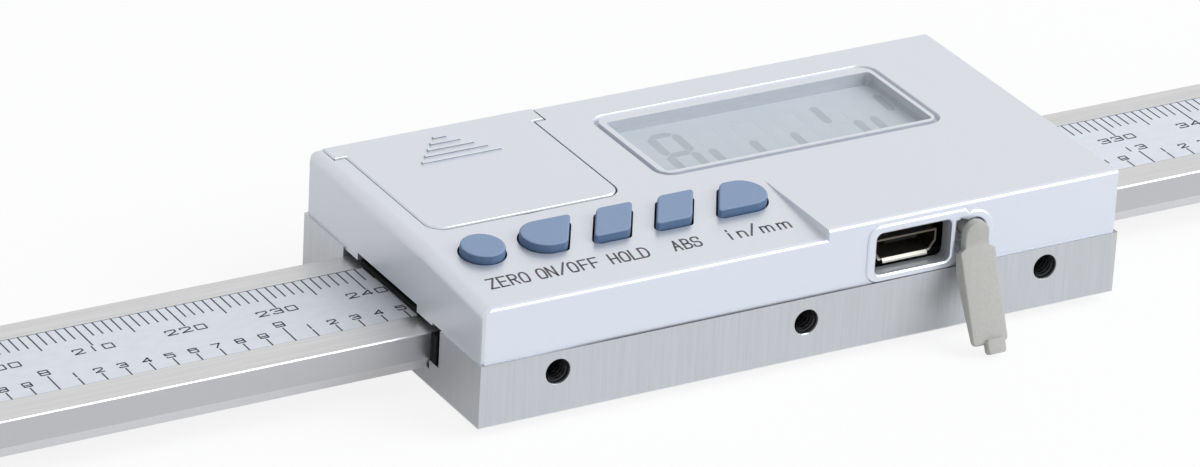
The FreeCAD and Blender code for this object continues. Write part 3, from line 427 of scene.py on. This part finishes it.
spring_steel = grained("spring_steel", srgb(130, 134, 142), srgb(168, 172, 178), (4.0, 0.2, 0.1),
                       (0.25, 0.4), METAL)
contact_brass = grained("contact_brass", srgb(196, 176, 128), srgb(224, 208, 168),
                        (0.2, 2.0, 0.2), (0.25, 0.4), METAL)
port_nickel = grained("port_nickel", srgb(150, 148, 141), srgb(180, 177, 167), (0.1, 1.5, 0.1),
                      (0.3, 0.45), METAL, shades=((SHELL_TOP, srgb(112, 106, 96)),))
print("made", len(bpy.data.materials), "materials so far")

# %% [markdown]
# The display is a reflective liquid crystal glass, a cool bluish grey with a slight cloud in it.
# The lens above is clear: mostly see-through by its alpha, so that only its gloss shows.

# %% Display and lens
def display_grey():
    """Two close greys, mixed by broad clouds and by the fine dots of the glass."""
    material, shader, wire = new_finish("display_grey", {"Specular IOR Level": 0.3})
    cloud, mesh_dots = grain(wire, 9.0, 1.0), grain(wire, 0.12, 1.0)
    tone = 0.6 * cloud + 0.4 * mesh_dots
    feed(shader, {
        "Base Color": between(wire, tone, srgb(186, 194, 201), srgb(201, 208, 214)),
        "Roughness": 0.45 + 0.15 * mesh_dots})
    return material


def clear_lens():
    """A pale colour at a low alpha; a faint haze changes the alpha and the gloss."""
    material, shader, wire = new_finish("clear_lens", {"Base Color": srgb(225, 232, 238)})
    haze = grain(wire, 5.0, 1.0)
    feed(shader, {"Alpha": 0.06 + 0.06 * haze, "Roughness": 0.04 + 0.06 * haze})
    return material


display, lens = display_grey(), clear_lens()
print("made", display.name, "and", lens.name)

# %% [markdown]
# Each solid that keeps its CAD shape now takes its finish. The mesh isn't touched: only the
# material in its slot changes.

# %% Dress the solids
FINISHES = (
    (silver, "housing", "battery_door"),
    (beam_steel, "beam"),
    (base_steel, "base_frame"),
    (foot_steel, "foot_left", "foot_right"),
    (screw_steel, "foot_screws", "case_screws", "gib_screw"),
    (spring_steel, "gib_spring"),
    (film_satin, "scale_film"),
    (grid_board, "scale_grid"),
    (black_plastic, "gib_strip", "port_tongue", "chip_cover", "board_header"),
    (black_board, "reader_board", "main_board"),
    (mat_rubber, "key_mat"),
    (strip_rubber, "connector_strip_front", "connector_strip_back"),
    (cell_steel, "coin_cell"),
    (contact_brass, "contact_negative", "contact_positive"),
    (port_nickel, "port_shell"),
    (display, "display_glass"),
    (lens, "lens"),
)
for finish, *names in FINISHES:
    for name in names:
        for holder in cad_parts[name].material_slots:
            holder.material = finish
print("dressed", sum(len(names) for _, *names in FINISHES), "solids")

# %% [markdown]
# New pieces are tubes of a kind: a closed ring of points, carried along a path, with a face at each
# end. Their faces come as whole index arrays, one array for each number of sides.

# %% Mesh helpers
def tube_faces(rings, points):
    """Quads between neighbouring rings, and a many-sided face over the first and the last ring."""
    index = np.arange(rings * points).reshape(rings, points)
    low, high = index[:-1], index[1:]
    quads = np.stack([low, np.roll(low, -1, 1), np.roll(high, -1, 1), high], -1).reshape(-1, 4)
    return [quads, index[:1, ::-1], index[-1:]]


def repeated(blocks, count, points):
    """One shape's face arrays for this many copies of it, whose points follow each other."""
    shift = points * np.arange(count)[:, None, None]
    return [(block[None] + shift).reshape(-1, block.shape[1]) for block in blocks]


def gather(shapes):
    """Joins shapes, each points and face arrays, by moving indices past the points before."""
    starts = np.cumsum([0] + [len(points) for points, _ in shapes])
    faces = [block + start for (_, blocks), start in zip(shapes, starts) for block in blocks]
    return np.vstack([points for points, _ in shapes]), faces


SHARP = math.radians(35)


def new_piece(name, shape, finish):
    """A mesh at the origin from points in mm, smooth except over its sharp edges."""
    points, faces = shape
    mesh = bpy.data.meshes.new(name)
    polygons = [face for block in faces for face in block.tolist()]
    mesh.from_pydata((points * MM).tolist(), [], polygons)
    mesh.polygons.foreach_set("use_smooth", np.ones(len(mesh.polygons), bool))
    mesh.set_sharp_from_angle(angle=SHARP)
    mesh.materials.append(finish)
    piece = bpy.data.objects.new(name, mesh)
    scene.collection.objects.link(piece)
    print(name, "has", len(mesh.polygons), "faces")
    return piece


# %% [markdown]
# The film's marks and the key legends are printed. A font would bring its own style, so the signs
# are drawn as an engraver does, as strokes on a grid of 6 by 8. A stroke with a tilde is soft: its
# corners are cut, which rounds them. Each stroke becomes a flat bar, a hundredth of a mm proud.

# %% Stroke signs
SIGNS = {
    "0": "~30 50 60 62 66 68 58 18 08 06 02 00 10 30",
    "1": "30 38",
    "2": "~06 08 18 58 68 66 65 00, 00 60",
    "3": "~07 08 18 58 68 66 64 54 24, ~24 54 64 62 60 50 10 00 01",
    "4": "50 58, 58 02, 02 62",
    "5": "68 08, 08 05, ~05 55 65 63 60 50 10 00 01",
    "6": "~67 68 58 18 08 06 02 00 10 50 60 62 65 55 05",
    "7": "08 68, 68 20",
    "8": "~34 54 64 66 68 58 18 08 06 04 14 34, ~34 54 64 62 60 50 10 00 02 04 14 34",
    "9": "~01 00 10 50 60 62 66 68 58 18 08 06 03 13 63",
    "A": "00 38, 38 60, 13 53", "B": "00 08, ~08 58 54 04, ~04 64 60 00",
    "D": "00 08, ~08 48 66 62 40 00", "E": "68 08, 08 00, 00 60, 04 54",
    "F": "68 08, 08 00, 04 54", "H": "00 08, 60 68, 04 64", "L": "08 00, 00 60",
    "N": "00 08, 08 60, 60 68", "O": "~30 60 68 08 00 30", "R": "00 08, ~08 68 64 04, 34 60",
    "S": "~66 68 08 04 64 60 00 02", "Z": "08 68, 68 00, 00 60", "i": "30 35, 37 38",
    "n": "00 05, ~03 05 65 60", "m": "00 05, ~03 05 35 30, ~33 35 65 60", "/": "00 69",
}
GRID = np.array([6.0, 8.0])


def cut_corners(path, rounds):
    """Each round keeps the points at one and three quarters of every stretch, and both ends."""
    for _ in range(rounds):
        first, second = path[:-1], path[1:]
        kept = np.stack([0.75 * first + 0.25 * second, 0.25 * first + 0.75 * second], 1)
        path = np.vstack([path[:1], kept.reshape(-1, 2), path[-1:]])
    return path


def strokes(sign, rounds):
    """A sign's strokes as arrays of points in a box from 0 to 1."""
    drawn = []
    for text in SIGNS[sign].split(","):
        soft = "~" in text
        path = np.array([[int(pair[0]), int(pair[1])] for pair in text.strip(" ~").split()]) / GRID
        drawn.append(cut_corners(path, rounds) if soft else path)
    return drawn


print(len(SIGNS), "signs,", sum(text.count(",") + 1 for text in SIGNS.values()), "strokes")


# %% Bars along strokes
def bars(paths, width, low, high):
    """Flat bars along paths, an array of (bars, points, 2).

    The ends first move half a width outwards. Each point then moves half a width to both sides,
    along the mitre of its corner, and that outline stands from low to high."""
    step = np.diff(paths, axis=1)
    step = step / np.linalg.norm(step, axis=2, keepdims=True)
    paths = paths.astype(float)
    paths[:, 0] -= step[:, 0] * width / 2
    paths[:, -1] += step[:, -1] * width / 2
    before, after = np.concatenate([step[:, :1], step], 1), np.concatenate([step, step[:, -1:]], 1)
    mitre = (before + after) / (1 + (before * after).sum(2, keepdims=True)) * width / 2
    side = np.stack([-mitre[..., 1], mitre[..., 0]], -1)
    outline = np.stack([paths - side, paths + side, paths + side, paths - side], 2)
    heights = np.broadcast_to(np.array([[low], [low], [high], [high]]), outline.shape[:3] + (1,))
    count, points = paths.shape[:2]
    faces = repeated(tube_faces(points, 4), count, 4 * points)
    return np.concatenate([outline, heights], -1).reshape(-1, 3), faces


def printed(sign, corners, size, lean, width, low, high, rounds=1):
    """Copies of a sign, lower left corners at these places: scaled, leaned, then made bars."""
    shapes = []
    for path in strokes(sign, rounds):
        scaled = path * size
        leaned = scaled + np.stack([lean * scaled[:, 1], np.zeros(len(path))], -1)
        shapes.append(bars(leaned[None] + np.asarray(corners, float)[:, None], width, low, high))
    return shapes


INK_SINK, INK_RISE = -0.01, 0.012
print("a bar is", INK_RISE - INK_SINK, "mm thick")

# %% [markdown]
# The ruler. Millimetre marks hang from the film's back edge, longer at every fifth and tenth, with
# a number at each centimetre. Tenths of an inch stand on its front edge, each with its own digit.
# All the marks of one length are one array, and so are all the copies of one digit.

# %% Ruler marks
film_low, film_high = (np.array(corner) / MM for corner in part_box("scale_film"))
ZERO_X = film_low[0] + 2.0
RULER_LENGTH = 380
FILM_TOP = film_high[2]
MARK_WIDTH = 0.16
INCH = 25.4
BACK_MARK, FRONT_MARK = film_high[1] - 0.1, film_low[1] + 0.08
MM_ENDS = {1: 3.68, 5: 2.73, 10: 1.82}
TENTH_END, INCH_END = -4.0, -2.5


def marks(places, start, end):
    """Straight bars across the film at these places, from one y to the other."""
    x = np.asarray(places, float) + ZERO_X
    ends = np.stack([np.stack([x, np.full_like(x, y)], -1) for y in (start, end)], 1)
    return bars(ends, MARK_WIDTH, FILM_TOP + INK_SINK, FILM_TOP + INK_RISE)


every_mm = np.arange(RULER_LENGTH + 1)
stride = np.select([every_mm % 10 == 0, every_mm % 5 == 0], [10, 5], 1)
ruler = [marks(every_mm[stride == key], BACK_MARK, end) for key, end in MM_ENDS.items()]
every_tenth = np.arange(1, int(RULER_LENGTH / INCH * 10) + 1)
tenths, inches = every_tenth[every_tenth % 10 != 0], every_tenth[every_tenth % 10 == 0]
ruler += [marks(tenths * INCH / 10, FRONT_MARK, TENTH_END),
          marks(inches * INCH / 10, FRONT_MARK, INCH_END)]
print(len(every_mm), "mm marks and", len(every_tenth), "marks of a tenth of an inch")

# %% Ruler numbers
NUMBER_SIZE, NUMBER_BASE, NUMBER_SHIFT = (1.05, 0.95), 0.58, -0.25
TENTH_SIZE, TENTH_BASE = (0.85, 0.82), -3.65
INCH_SIZE, INCH_BASE = (0.95, 0.92), -2.1
DIGIT_PITCH, DIGIT_WIDTH = 1.6, 0.17


def number_places(values, centres, wide):
    """For each digit, the left edges of all its copies; a number spreads round its centre."""
    found = {}
    for value, centre in zip(values, centres):
        text = str(value)
        for turn, digit in enumerate(text):
            left = centre + (turn - (len(text) - 1) / 2) * DIGIT_PITCH - wide / 2
            found.setdefault(digit, []).append(left)
    return found


def number_shapes(values, centres, size, base):
    """Bars for numbers along the film, their feet on one y."""
    shapes = []
    for digit, lefts in number_places(values, centres, size[0]).items():
        corners = np.stack([np.array(lefts) + ZERO_X, np.full(len(lefts), base)], -1)
        shapes += printed(digit, corners, np.array(size), 0.0, DIGIT_WIDTH,
                          FILM_TOP + INK_SINK, FILM_TOP + INK_RISE)
    return shapes


tens = every_mm[10::10]
ruler += number_shapes(tens, tens + NUMBER_SHIFT, NUMBER_SIZE, NUMBER_BASE)
ruler += number_shapes(tenths % 10, tenths * INCH / 10, TENTH_SIZE, TENTH_BASE)
ruler += number_shapes(inches // 10, inches * INCH / 10, INCH_SIZE, INCH_BASE)
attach(new_piece("film_print", gather(ruler), print_ink), "beam")

# %% [markdown]
# The key panel slopes down to the front, from a fold across the housing's top. How far it drops
# over its length gives its angle, and one function then lifts flat drawings onto it: across, up
# the slope, and out along the panel's normal.

# %% Key panel
housing_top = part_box("housing")[1].z / MM
PANEL_FOLD, PANEL_FRONT = -6.6, -19.4
PANEL_DROP = 1.07
panel_slope = math.atan2(PANEL_DROP, PANEL_FOLD - PANEL_FRONT)


def on_panel(points):
    """Across, up the slope from the fold, and out become a place by a turn about X at the fold."""
    across, up, out = np.moveaxis(points, -1, 0)
    return np.stack([across, PANEL_FOLD + up * math.cos(panel_slope) - out * math.sin(panel_slope),
                     housing_top + up * math.sin(panel_slope) + out * math.cos(panel_slope)], -1)


def up_panel(y):
    """The distance up the slope, from the fold, of a point seen at this y."""
    return (y - PANEL_FOLD) / math.cos(panel_slope)


print("panel slopes", round(math.degrees(panel_slope), 2), "degrees")

# %% Key legends
LEGEND_BASE, LEGEND_HEIGHT, LEGEND_LEAN = up_panel(-15.75), 1.72, 0.1
LEGEND_WIDTH = 0.22
LETTER = 0.78
LEGENDS = {
    "ZERO": (54.45, 55.62, 56.8, 57.97),
    "ON/OFF": (59.9, 61.05, 62.25, 63.42, 64.72, 65.88),
    "HOLD": (68.08, 69.25, 70.44, 71.5),
    "ABS": (75.2, 76.4, 77.5),
    "in/mm": (81.3, 82.7, 83.9, 85.32, 87.3),
}
WIDE_LETTERS = {"/": 0.95, "m": 1.25, "O": 0.84, "D": 0.84}

legend_shapes = []
for text, lefts in LEGENDS.items():
    for sign, left in zip(text, lefts):
        size = np.array([WIDE_LETTERS.get(sign, LETTER), LEGEND_HEIGHT])
        legend_shapes += printed(sign, [(left, LEGEND_BASE)], size, LEGEND_LEAN, LEGEND_WIDTH,
                                 INK_SINK, INK_RISE, rounds=2)
flat_points, legend_faces = gather(legend_shapes)
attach(new_piece("key_legends", (on_panel(flat_points), legend_faces), legend_ink), "head")

# %% [markdown]
# The keys are moulded in one blue silicone rubber, paler on their tops than on their walls. Each
# cap is one outline, a rectangle whose four corners have their own radius and lean. With all radii
# equal to half its width it is round; with two of them large and upright it is a bullet. That
# outline is carried upwards and drawn in over the rim.

# %% Key caps
RIM_TURNS, CORNER_STEPS = 6, 10
KEY_FLOOR, KEY_PROUD, KEY_RIM, KEY_FLAT = -2.4, 0.9, 0.2, 0.12
KEY_UP = up_panel(-9.3)
SOFT, NOSE, SLANT = 0.55, 2.45, 0.6
LEAST_RADIUS = 0.01
# Centre across, width and depth, then the radii and the leans of the four corners: right front,
# right back, left back, left front
KEYS = {
    "key_zero": (56.83, 4.56, 4.56, [2.28] * 4, [0.0] * 4),
    "key_power": (63.93, 5.33, 4.9, [SOFT, SOFT, NOSE, NOSE], [SLANT, SLANT, 0.0, 0.0]),
    "key_hold": (71.61, 4.15, 4.9, [SOFT] * 4, [SLANT] * 4),
    "key_abs": (78.69, 4.15, 4.9, [SOFT] * 4, [SLANT] * 4),
    "key_unit": (86.45, 5.33, 4.9, [NOSE, NOSE, SOFT, SOFT], [0.0, 0.0, SLANT, SLANT]),
}


def rounded_rings(wide, deep, radii, steps):
    """Rounded rectangles, one for each width and depth: a quarter circle round every corner."""
    wide, deep = np.asarray(wide, float)[:, None, None], np.asarray(deep, float)[:, None, None]
    radii = np.maximum(np.asarray(radii, float), LEAST_RADIUS).reshape(-1, 4, 1)
    angles = np.radians(np.array([-90, 0, 90, 180])[:, None] + np.linspace(0, 90, steps))
    x = np.array([1, 1, -1, -1])[:, None] * (wide / 2 - radii) + radii * np.cos(angles)
    y = np.array([-1, 1, 1, -1])[:, None] * (deep / 2 - radii) + radii * np.sin(angles)
    return np.stack([x, y], -1).reshape(len(wide), 4 * steps, 2)


def key_cap(centre, wide, deep, radii, leans):
    """The outline at each height of a profile: the wall, a quarter-round rim, and the flat top."""
    turn = np.linspace(0, math.pi / 2, RIM_TURNS)
    inset = np.concatenate([[0, 0], KEY_RIM * (1 - np.cos(turn)), [KEY_RIM + KEY_FLAT]])
    height = np.concatenate([[KEY_FLOOR, 0], KEY_PROUD - KEY_RIM * (1 - np.sin(turn)), [KEY_PROUD]])
    rings = rounded_rings(wide - 2 * inset, deep - 2 * inset,
                          np.array(radii) - inset[:, None], CORNER_STEPS)
    across = centre + rings[..., 0] + np.repeat(leans, CORNER_STEPS) * rings[..., 1]
    out = np.broadcast_to(height[:, None], across.shape)
    points = on_panel(np.stack([across, KEY_UP + rings[..., 1], out], -1))
    return points.reshape(-1, 3), tube_faces(*across.shape)


print("keys stand", KEY_PROUD, "mm proud of the panel")

# %% Key rubber
PALE_FROM, PALE_FULL = 0.35, 0.9


def key_rubber():
    """Blue rubber, paler where the surface faces up, told apart by its normal."""
    material, shader, wire = new_finish("key_rubber", {"Specular IOR Level": 0.35})
    facing = wire.node("ShaderNodeNewGeometry", output="Normal")
    upward = wire.node("ShaderNodeSeparateXYZ", {}, {"Vector": facing}, output="Z")
    paleness = smooth_rise(wire, upward, PALE_FROM, PALE_FULL)
    bloom = grain(wire, 0.25, 3.0)
    blue = between(wire, bloom, srgb(70, 94, 126), srgb(88, 112, 145))
    pale = between(wire, bloom, srgb(121, 141, 171), srgb(135, 155, 183))
    feed(shader, {"Base Color": between(wire, paleness, blue, pale), "Roughness": 0.5 + 0.2 * bloom,
                  "Normal": relief(wire, bloom, 0.01, 0.2)})
    return material


key_blue = key_rubber()
for name, outline in KEYS.items():
    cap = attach(new_piece(f"{name}_cap", key_cap(*outline), key_blue), name)
    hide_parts(name)

# %% [markdown]
# With the display off, the seven-segment digits still show as faint ghosts, some segments more
# than others. Six digits in a row, each of seven six-sided bars: one bar is worked out, and its
# copies fill the places of all the segments. How clear each one is goes to the finish as an
# attribute of its points.

# %% Ghost digits
DIGIT_LEFT, DIGIT_STEP, DIGITS = 86.05, 4.88, 6
DIGIT_BASE, DIGIT_TALL, DIGIT_WIDE, DIGIT_LEAN = 0.3, 9.1, 2.85, 0.065
SEGMENT, SEGMENT_GAP, SEGMENT_SIDES = 1.0, 0.08, 6
GHOST_SINK, GHOST_RISE = -0.01, 0.008
glass_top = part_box("display_glass")[1].z / MM


def ghost_digits():
    """Every segment runs between two of a digit's six corners, as a bar with pointed ends. The
    bars of one digit are stepped to the places of all six, and lean there."""
    corner = np.array([(x, y) for y in (0.0, 0.5, 1.0) for x in (0.0, 1.0)])
    corner = corner * (DIGIT_WIDE, DIGIT_TALL)
    ends = np.array([(0, 1), (2, 3), (4, 5), (0, 2), (1, 3), (2, 4), (3, 5)])
    start, stop = corner[ends[:, 0]], corner[ends[:, 1]]
    along = (stop - start) / np.linalg.norm(stop - start, axis=1, keepdims=True)
    side = np.stack([-along[:, 1], along[:, 0]], -1) * SEGMENT / 2
    tip, shoulder = along * SEGMENT_GAP, along * (SEGMENT_GAP + SEGMENT / 2)
    outline = np.stack([start + tip, start + shoulder - side, stop - shoulder - side,
                        stop - tip, stop - shoulder + side, start + shoulder + side], 1)
    steps = np.stack([DIGIT_LEFT + DIGIT_STEP * np.arange(DIGITS), np.full(DIGITS, DIGIT_BASE)], -1)
    flat = (outline[None] + steps[:, None, None]).reshape(-1, SEGMENT_SIDES, 2)
    flat[..., 0] += DIGIT_LEAN * (flat[..., 1] - DIGIT_BASE)
    rings = np.stack([np.concatenate([flat, np.full(flat.shape[:2] + (1,), glass_top + lift)], -1)
                      for lift in (GHOST_SINK, GHOST_RISE)], 1)
    faces = repeated(tube_faces(2, SEGMENT_SIDES), len(flat), 2 * SEGMENT_SIDES)
    return rings.reshape(-1, 3), faces


print("a digit is", DIGIT_TALL, "mm tall")

# %% Ghost finish
FAINT = 0.2
# A digit's segments are its low, middle and high bar, then these four uprights
EVERY = list(range(7))
LOW_LEFT, LOW_RIGHT, HIGH_LEFT, HIGH_RIGHT = EVERY[3:]
CLEAR = (EVERY, [LOW_LEFT], [LOW_LEFT], [LOW_LEFT],
         [HIGH_LEFT, LOW_RIGHT], [LOW_LEFT, HIGH_RIGHT])


def ghost_grey():
    """The display's own grey, darkened by the points' attribute."""
    material, shader, wire = new_finish("ghost_grey", {"Specular IOR Level": 0.3})
    ink = wire.node("ShaderNodeAttribute", {"attribute_name": "ink"}, output="Fac")
    cloud = grain(wire, 2.0)
    clear = between(wire, cloud, srgb(164, 172, 179), srgb(172, 180, 187))
    feed(shader, {
        "Base Color": between(wire, ink, srgb(197, 205, 212), clear),
        "Roughness": 0.45 + 0.1 * cloud})
    return material


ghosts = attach(new_piece("ghost_digits", ghost_digits(), ghost_grey()), "head")
ink = np.full((DIGITS, len(EVERY)), FAINT)
for digit, segments in enumerate(CLEAR):
    ink[digit, segments] = 1.0
ghosts.data.attributes.new("ink", "FLOAT", "POINT").data.foreach_set(
    "value", np.repeat(ink, 2 * SEGMENT_SIDES))

# %% [markdown]
# The flap that closes the data port is a rubber strap: round at the neck, where its stem goes into
# the housing, wider below the shoulders, and bent outwards because it hangs open. A box would look
# cut from sheet, so a rounded section is carried down a path that turns at the neck. The stem is
# a piece of its own that stays with the neck.

# %% Flap path
neck_low, neck_high = (np.array(corner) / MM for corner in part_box("flap_neck"))
NECK_RADIUS, FLAP_RISE, FLAP_THICK = 1.42, 11.6, 1.0
FLAP_X = (neck_low[0] + neck_high[0]) / 2
FLAP_Y = neck_low[1] + FLAP_THICK / 2
FLAP_TOP = FLAP_RISE + NECK_RADIUS
BEND_RISE, BEND_SPAN, TILT = 10.5, 1.0, math.radians(25.5)
BEND_AT = FLAP_TOP - BEND_RISE
LID_START, LID_LENGTH, LID_WIDE = 0.56, 9.75, 4.2
FLAP_END = BEND_AT + LID_START + LID_LENGTH
DRIFT = 0.032
PATH_SPARE, PATH_STEPS = 2.0, 800


def eased(share):
    """A smooth step from 0 to 1: three times the share's square less twice its cube."""
    return share * share * (3 - 2 * share)


def down_flap(lengths, across, out):
    """A place on the strap. Its path runs down and turns outwards round the bend, by adding up
    short steps. Across is along X, less a small sideways drift below the bend, and out is square
    to the path."""
    fine = np.linspace(0, FLAP_END + PATH_SPARE, PATH_STEPS)
    angle = TILT * eased(np.clip((fine - BEND_AT) / BEND_SPAN + 0.5, 0, 1))
    step = fine[1] - fine[0]
    forward = np.concatenate([[0], np.cumsum(np.sin(angle[1:]) * step)])
    fall = np.concatenate([[0], np.cumsum(np.cos(angle[1:]) * step)])
    lean = np.interp(lengths, fine, angle)
    y = FLAP_Y - np.interp(lengths, fine, forward) - out * np.cos(lean)
    z = FLAP_TOP - np.interp(lengths, fine, fall) + out * np.sin(lean)
    return np.stack([FLAP_X + across - DRIFT * np.clip(lengths - BEND_AT, 0, None), y, z], -1)


print("flap is", round(FLAP_END, 2), "mm long")

# %% Strap sections
EDGE, EDGE_MOST, EDGE_STEPS = 0.18, 0.95, 5


def strap_rings(lengths, half, middle, back, front):
    """Rounded sections at these lengths: half a width each side of the middle, back to front."""
    lengths, half = np.asarray(lengths, float), np.asarray(half, float)
    back, front = np.broadcast_to(back, lengths.shape), np.broadcast_to(front, lengths.shape)
    deep = front - back
    radii = np.minimum(EDGE, np.minimum(half, deep / 2) * EDGE_MOST)[:, None] * np.ones(4)
    rings = rounded_rings(2 * half, deep, radii, EDGE_STEPS)
    out = rings[..., 1] + ((front + back) / 2)[:, None]
    points = down_flap(np.broadcast_to(lengths[:, None], out.shape), rings[..., 0] + middle, out)
    return points.reshape(-1, 3), tube_faces(*out.shape)


def eased_ends(start, end, count):
    """Lengths from start to end that crowd towards both ends, as the cosine of equal turns does."""
    return (start + end) / 2 - (end - start) / 2 * np.cos(np.linspace(0, math.pi, count))


print("a section has", 4 * EDGE_STEPS, "points")

# %% Port flap
LID_CORNER, SHOULDER = 0.5, 0.5
FLAP_START, FLAP_RINGS, FLAP_BEVEL = 0.02, 120, 0.15
BACK_AT = np.array([0.5, 2.4, 3.5, 7.0, 9.6, 10.3])
BACK_SWELL = np.array([0.0, 0.5, 0.5, 0.08, -0.35, -0.45])
TAB_ROOT, TAB_REACH, TAB_HALF, TAB_MIDDLE = 0.5, 1.05, 1.1, 0.4
TAB_BACK, TAB_FRONT = 0.05, 0.95
TAB_INSET = 0.2 * np.array([1, 0, 0, 0, 0, 0, 0.2, 1.0])


def port_flap():
    """Neck and lid in one strap, whose half width is a half circle, then straight, then the
    shoulders' smooth step, and a quarter circle at its end. Its back swells into the plug and
    thins to the end. Then the finger tab."""
    lengths = eased_ends(FLAP_START, FLAP_END, FLAP_RINGS)
    top = np.sqrt(np.clip(NECK_RADIUS ** 2 - np.clip(NECK_RADIUS - lengths, 0, None) ** 2, 0, None))
    step = np.clip((lengths - BEND_AT - LID_START + SHOULDER / 2) / SHOULDER, 0, 1)
    half = top + (LID_WIDE / 2 - NECK_RADIUS) * eased(step)
    near_end = np.clip(LID_CORNER - (FLAP_END - lengths), 0, LID_CORNER)
    half = half - LID_CORNER + np.sqrt(LID_CORNER ** 2 - near_end ** 2)
    bevel = FLAP_BEVEL * np.clip(1 - (FLAP_END - lengths) / FLAP_BEVEL, 0, 1)
    swell = np.interp(lengths - BEND_AT, BACK_AT, BACK_SWELL)
    strap = strap_rings(lengths, half, 0.0, -FLAP_THICK / 2 - swell + bevel, FLAP_THICK / 2 - bevel)
    down_tab = np.linspace(FLAP_END - TAB_ROOT, FLAP_END + TAB_REACH, len(TAB_INSET))
    tab = strap_rings(down_tab, TAB_HALF - TAB_INSET, TAB_MIDDLE, TAB_BACK, TAB_FRONT)
    return gather([strap, tab])


flap_rubber = grained("flap_rubber", srgb(162, 161, 157), srgb(180, 179, 175), 0.35, (0.6, 0.8))
flap = new_piece("port_flap", port_flap(), flap_rubber)
bend_point = down_flap(BEND_AT, 0.0, 0.0) * MM
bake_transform(flap)
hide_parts("flap_neck", "flap_lid")

# %% Flap stem
STEM_ROOT, STEM_BULB = 0.6, np.array([1.3, 1.1, 0.9, 0.3, 0.05])
STEM_RADII = np.array([0.88, 0.88, 1.5, 1.85, 1.85, 1.5])
STEM_SIDES = 32


def flap_stem():
    """A turned pin: circles of these radii at places along Y, from inside the neck to its bulb."""
    y = np.concatenate([[neck_low[1] + STEM_ROOT], neck_high[1] - STEM_BULB])[:, None]
    angle = np.linspace(0, 2 * math.pi, STEM_SIDES, endpoint=False)
    across = FLAP_X + STEM_RADII[:, None] * np.sin(angle)
    up = FLAP_RISE + STEM_RADII[:, None] * np.cos(angle)
    points = np.stack([across, np.broadcast_to(y, up.shape), up], -1)
    return points.reshape(-1, 3), tube_faces(*up.shape)


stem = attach(new_piece("flap_stem", flap_stem(), flap_rubber), "flap_neck")

# %% [markdown]
# Round the flap's neck the port's bezel runs on as a low arch. It is a flat outline: a bar from the
# bezel, a step down, an arc round the neck and a leg. That outline goes from inside the housing to
# its front and draws in over a rounded edge, so that the arch looks moulded with the housing.

# %% Port arch
ARCH_X, ARCH_Z = 107.98, 11.5
ARCH_INNER, ARCH_OUTER = 1.5, 2.35
ARCH_BACK, ARCH_FRONT, ARCH_EDGE, ARCH_TURNS = -18.3, -19.61, 0.2, 5
OUTER_ARC, INNER_ARC = np.radians(np.linspace(0, 104, 20)), np.radians(np.linspace(118, 0, 16))
LEG_FOOT = [(109.6, 9.9), (110.25, 9.9)]
STEP_AND_BAR = [(107.3, 13.7), (106.85, 14.2), (105.0, 14.2),
                (105.0, 13.2), (106.2, 13.2), (106.6, 13.1)]


def arc(radius, angles):
    """Points on a circle round the arch's middle, in X and Z."""
    return np.stack([ARCH_X + radius * np.cos(angles), ARCH_Z + radius * np.sin(angles)], -1)


def drawn_in(outline, inset):
    """A closed outline, counter-clockwise, each point moved inwards along its corner's mitre."""
    step = np.roll(outline, -1, 0) - outline
    step = step / np.linalg.norm(step, axis=1, keepdims=True)
    before = np.roll(step, 1, 0)
    mitre = (before + step) / (1 + (before * step).sum(1, keepdims=True)) * inset
    return outline + np.stack([-mitre[:, 1], mitre[:, 0]], -1)


def port_arch():
    """The outline in X and Z, carried along Y; over its edge the inset follows a quarter circle."""
    outline = np.vstack([LEG_FOOT, arc(ARCH_OUTER, OUTER_ARC),
                         STEP_AND_BAR, arc(ARCH_INNER, INNER_ARC)])
    turn = np.linspace(0, math.pi / 2, ARCH_TURNS)
    inset = np.concatenate([[0.0], ARCH_EDGE * (1 - np.cos(turn))])
    y = np.concatenate([[ARCH_BACK], ARCH_FRONT + ARCH_EDGE * (1 - np.sin(turn))])
    rings = np.stack([drawn_in(outline, step) for step in inset])
    out = np.broadcast_to(y[:, None], rings.shape[:2])
    points = np.stack([rings[..., 0], out, rings[..., 1]], -1)
    return points.reshape(-1, 3), tube_faces(*out.shape)


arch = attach(new_piece("port_arch", port_arch(), silver), "head")

# %% [markdown]
# The three holes in the base's front are tapped. A thread is one surface: a tube whose radius rises
# and falls as a zigzag of the depth plus the turn, so that the ridge climbs like a spiral stair.

# %% Tapped holes
base_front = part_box("base_frame")[0].y / MM
TAPS = ((60.1, 5.65), (88.6, 5.2), (117.1, 5.65))
TAP_DEPTH, HOLE_LIP = 5.6, 0.06
ROOT, CREST, PITCH = 1.245, 1.12, 0.5
THREAD_SIDES, ROWS_A_TURN = 40, 8


def thread(x, z):
    """Radius from crest to root by a zigzag of depth / pitch + turn; the first rings open out."""
    rows = int(TAP_DEPTH / PITCH * ROWS_A_TURN) + 1
    angle = np.linspace(0, 2 * math.pi, THREAD_SIDES, endpoint=False)[None]
    down = np.linspace(0, TAP_DEPTH, rows)[:, None]
    climb = (down / PITCH + angle / (2 * math.pi)) % 1
    ridge = np.abs(2 * climb - 1) * np.clip(down / PITCH, 0, 1)
    radius = ROOT - (ROOT - CREST) * ridge
    y = np.broadcast_to(base_front + HOLE_LIP + down, radius.shape)
    points = np.stack([x + radius * np.cos(angle), y, z + radius * np.sin(angle)], -1)
    quads, _, bottom = tube_faces(rows, THREAD_SIDES)
    return points.reshape(-1, 3), [quads[:, ::-1], bottom[:, ::-1]]


# Painted shade: the threads' steel is dark, as it is deep inside the holes
shaded_tap_steel = grained("shaded_tap_steel", srgb(72, 72, 75), srgb(104, 104, 107), 0.3, (0.4, 0.55), METAL)
tapped = gather([thread(*tap) for tap in TAPS])
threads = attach(new_piece("tapped_threads", tapped, shaded_tap_steel), "head")
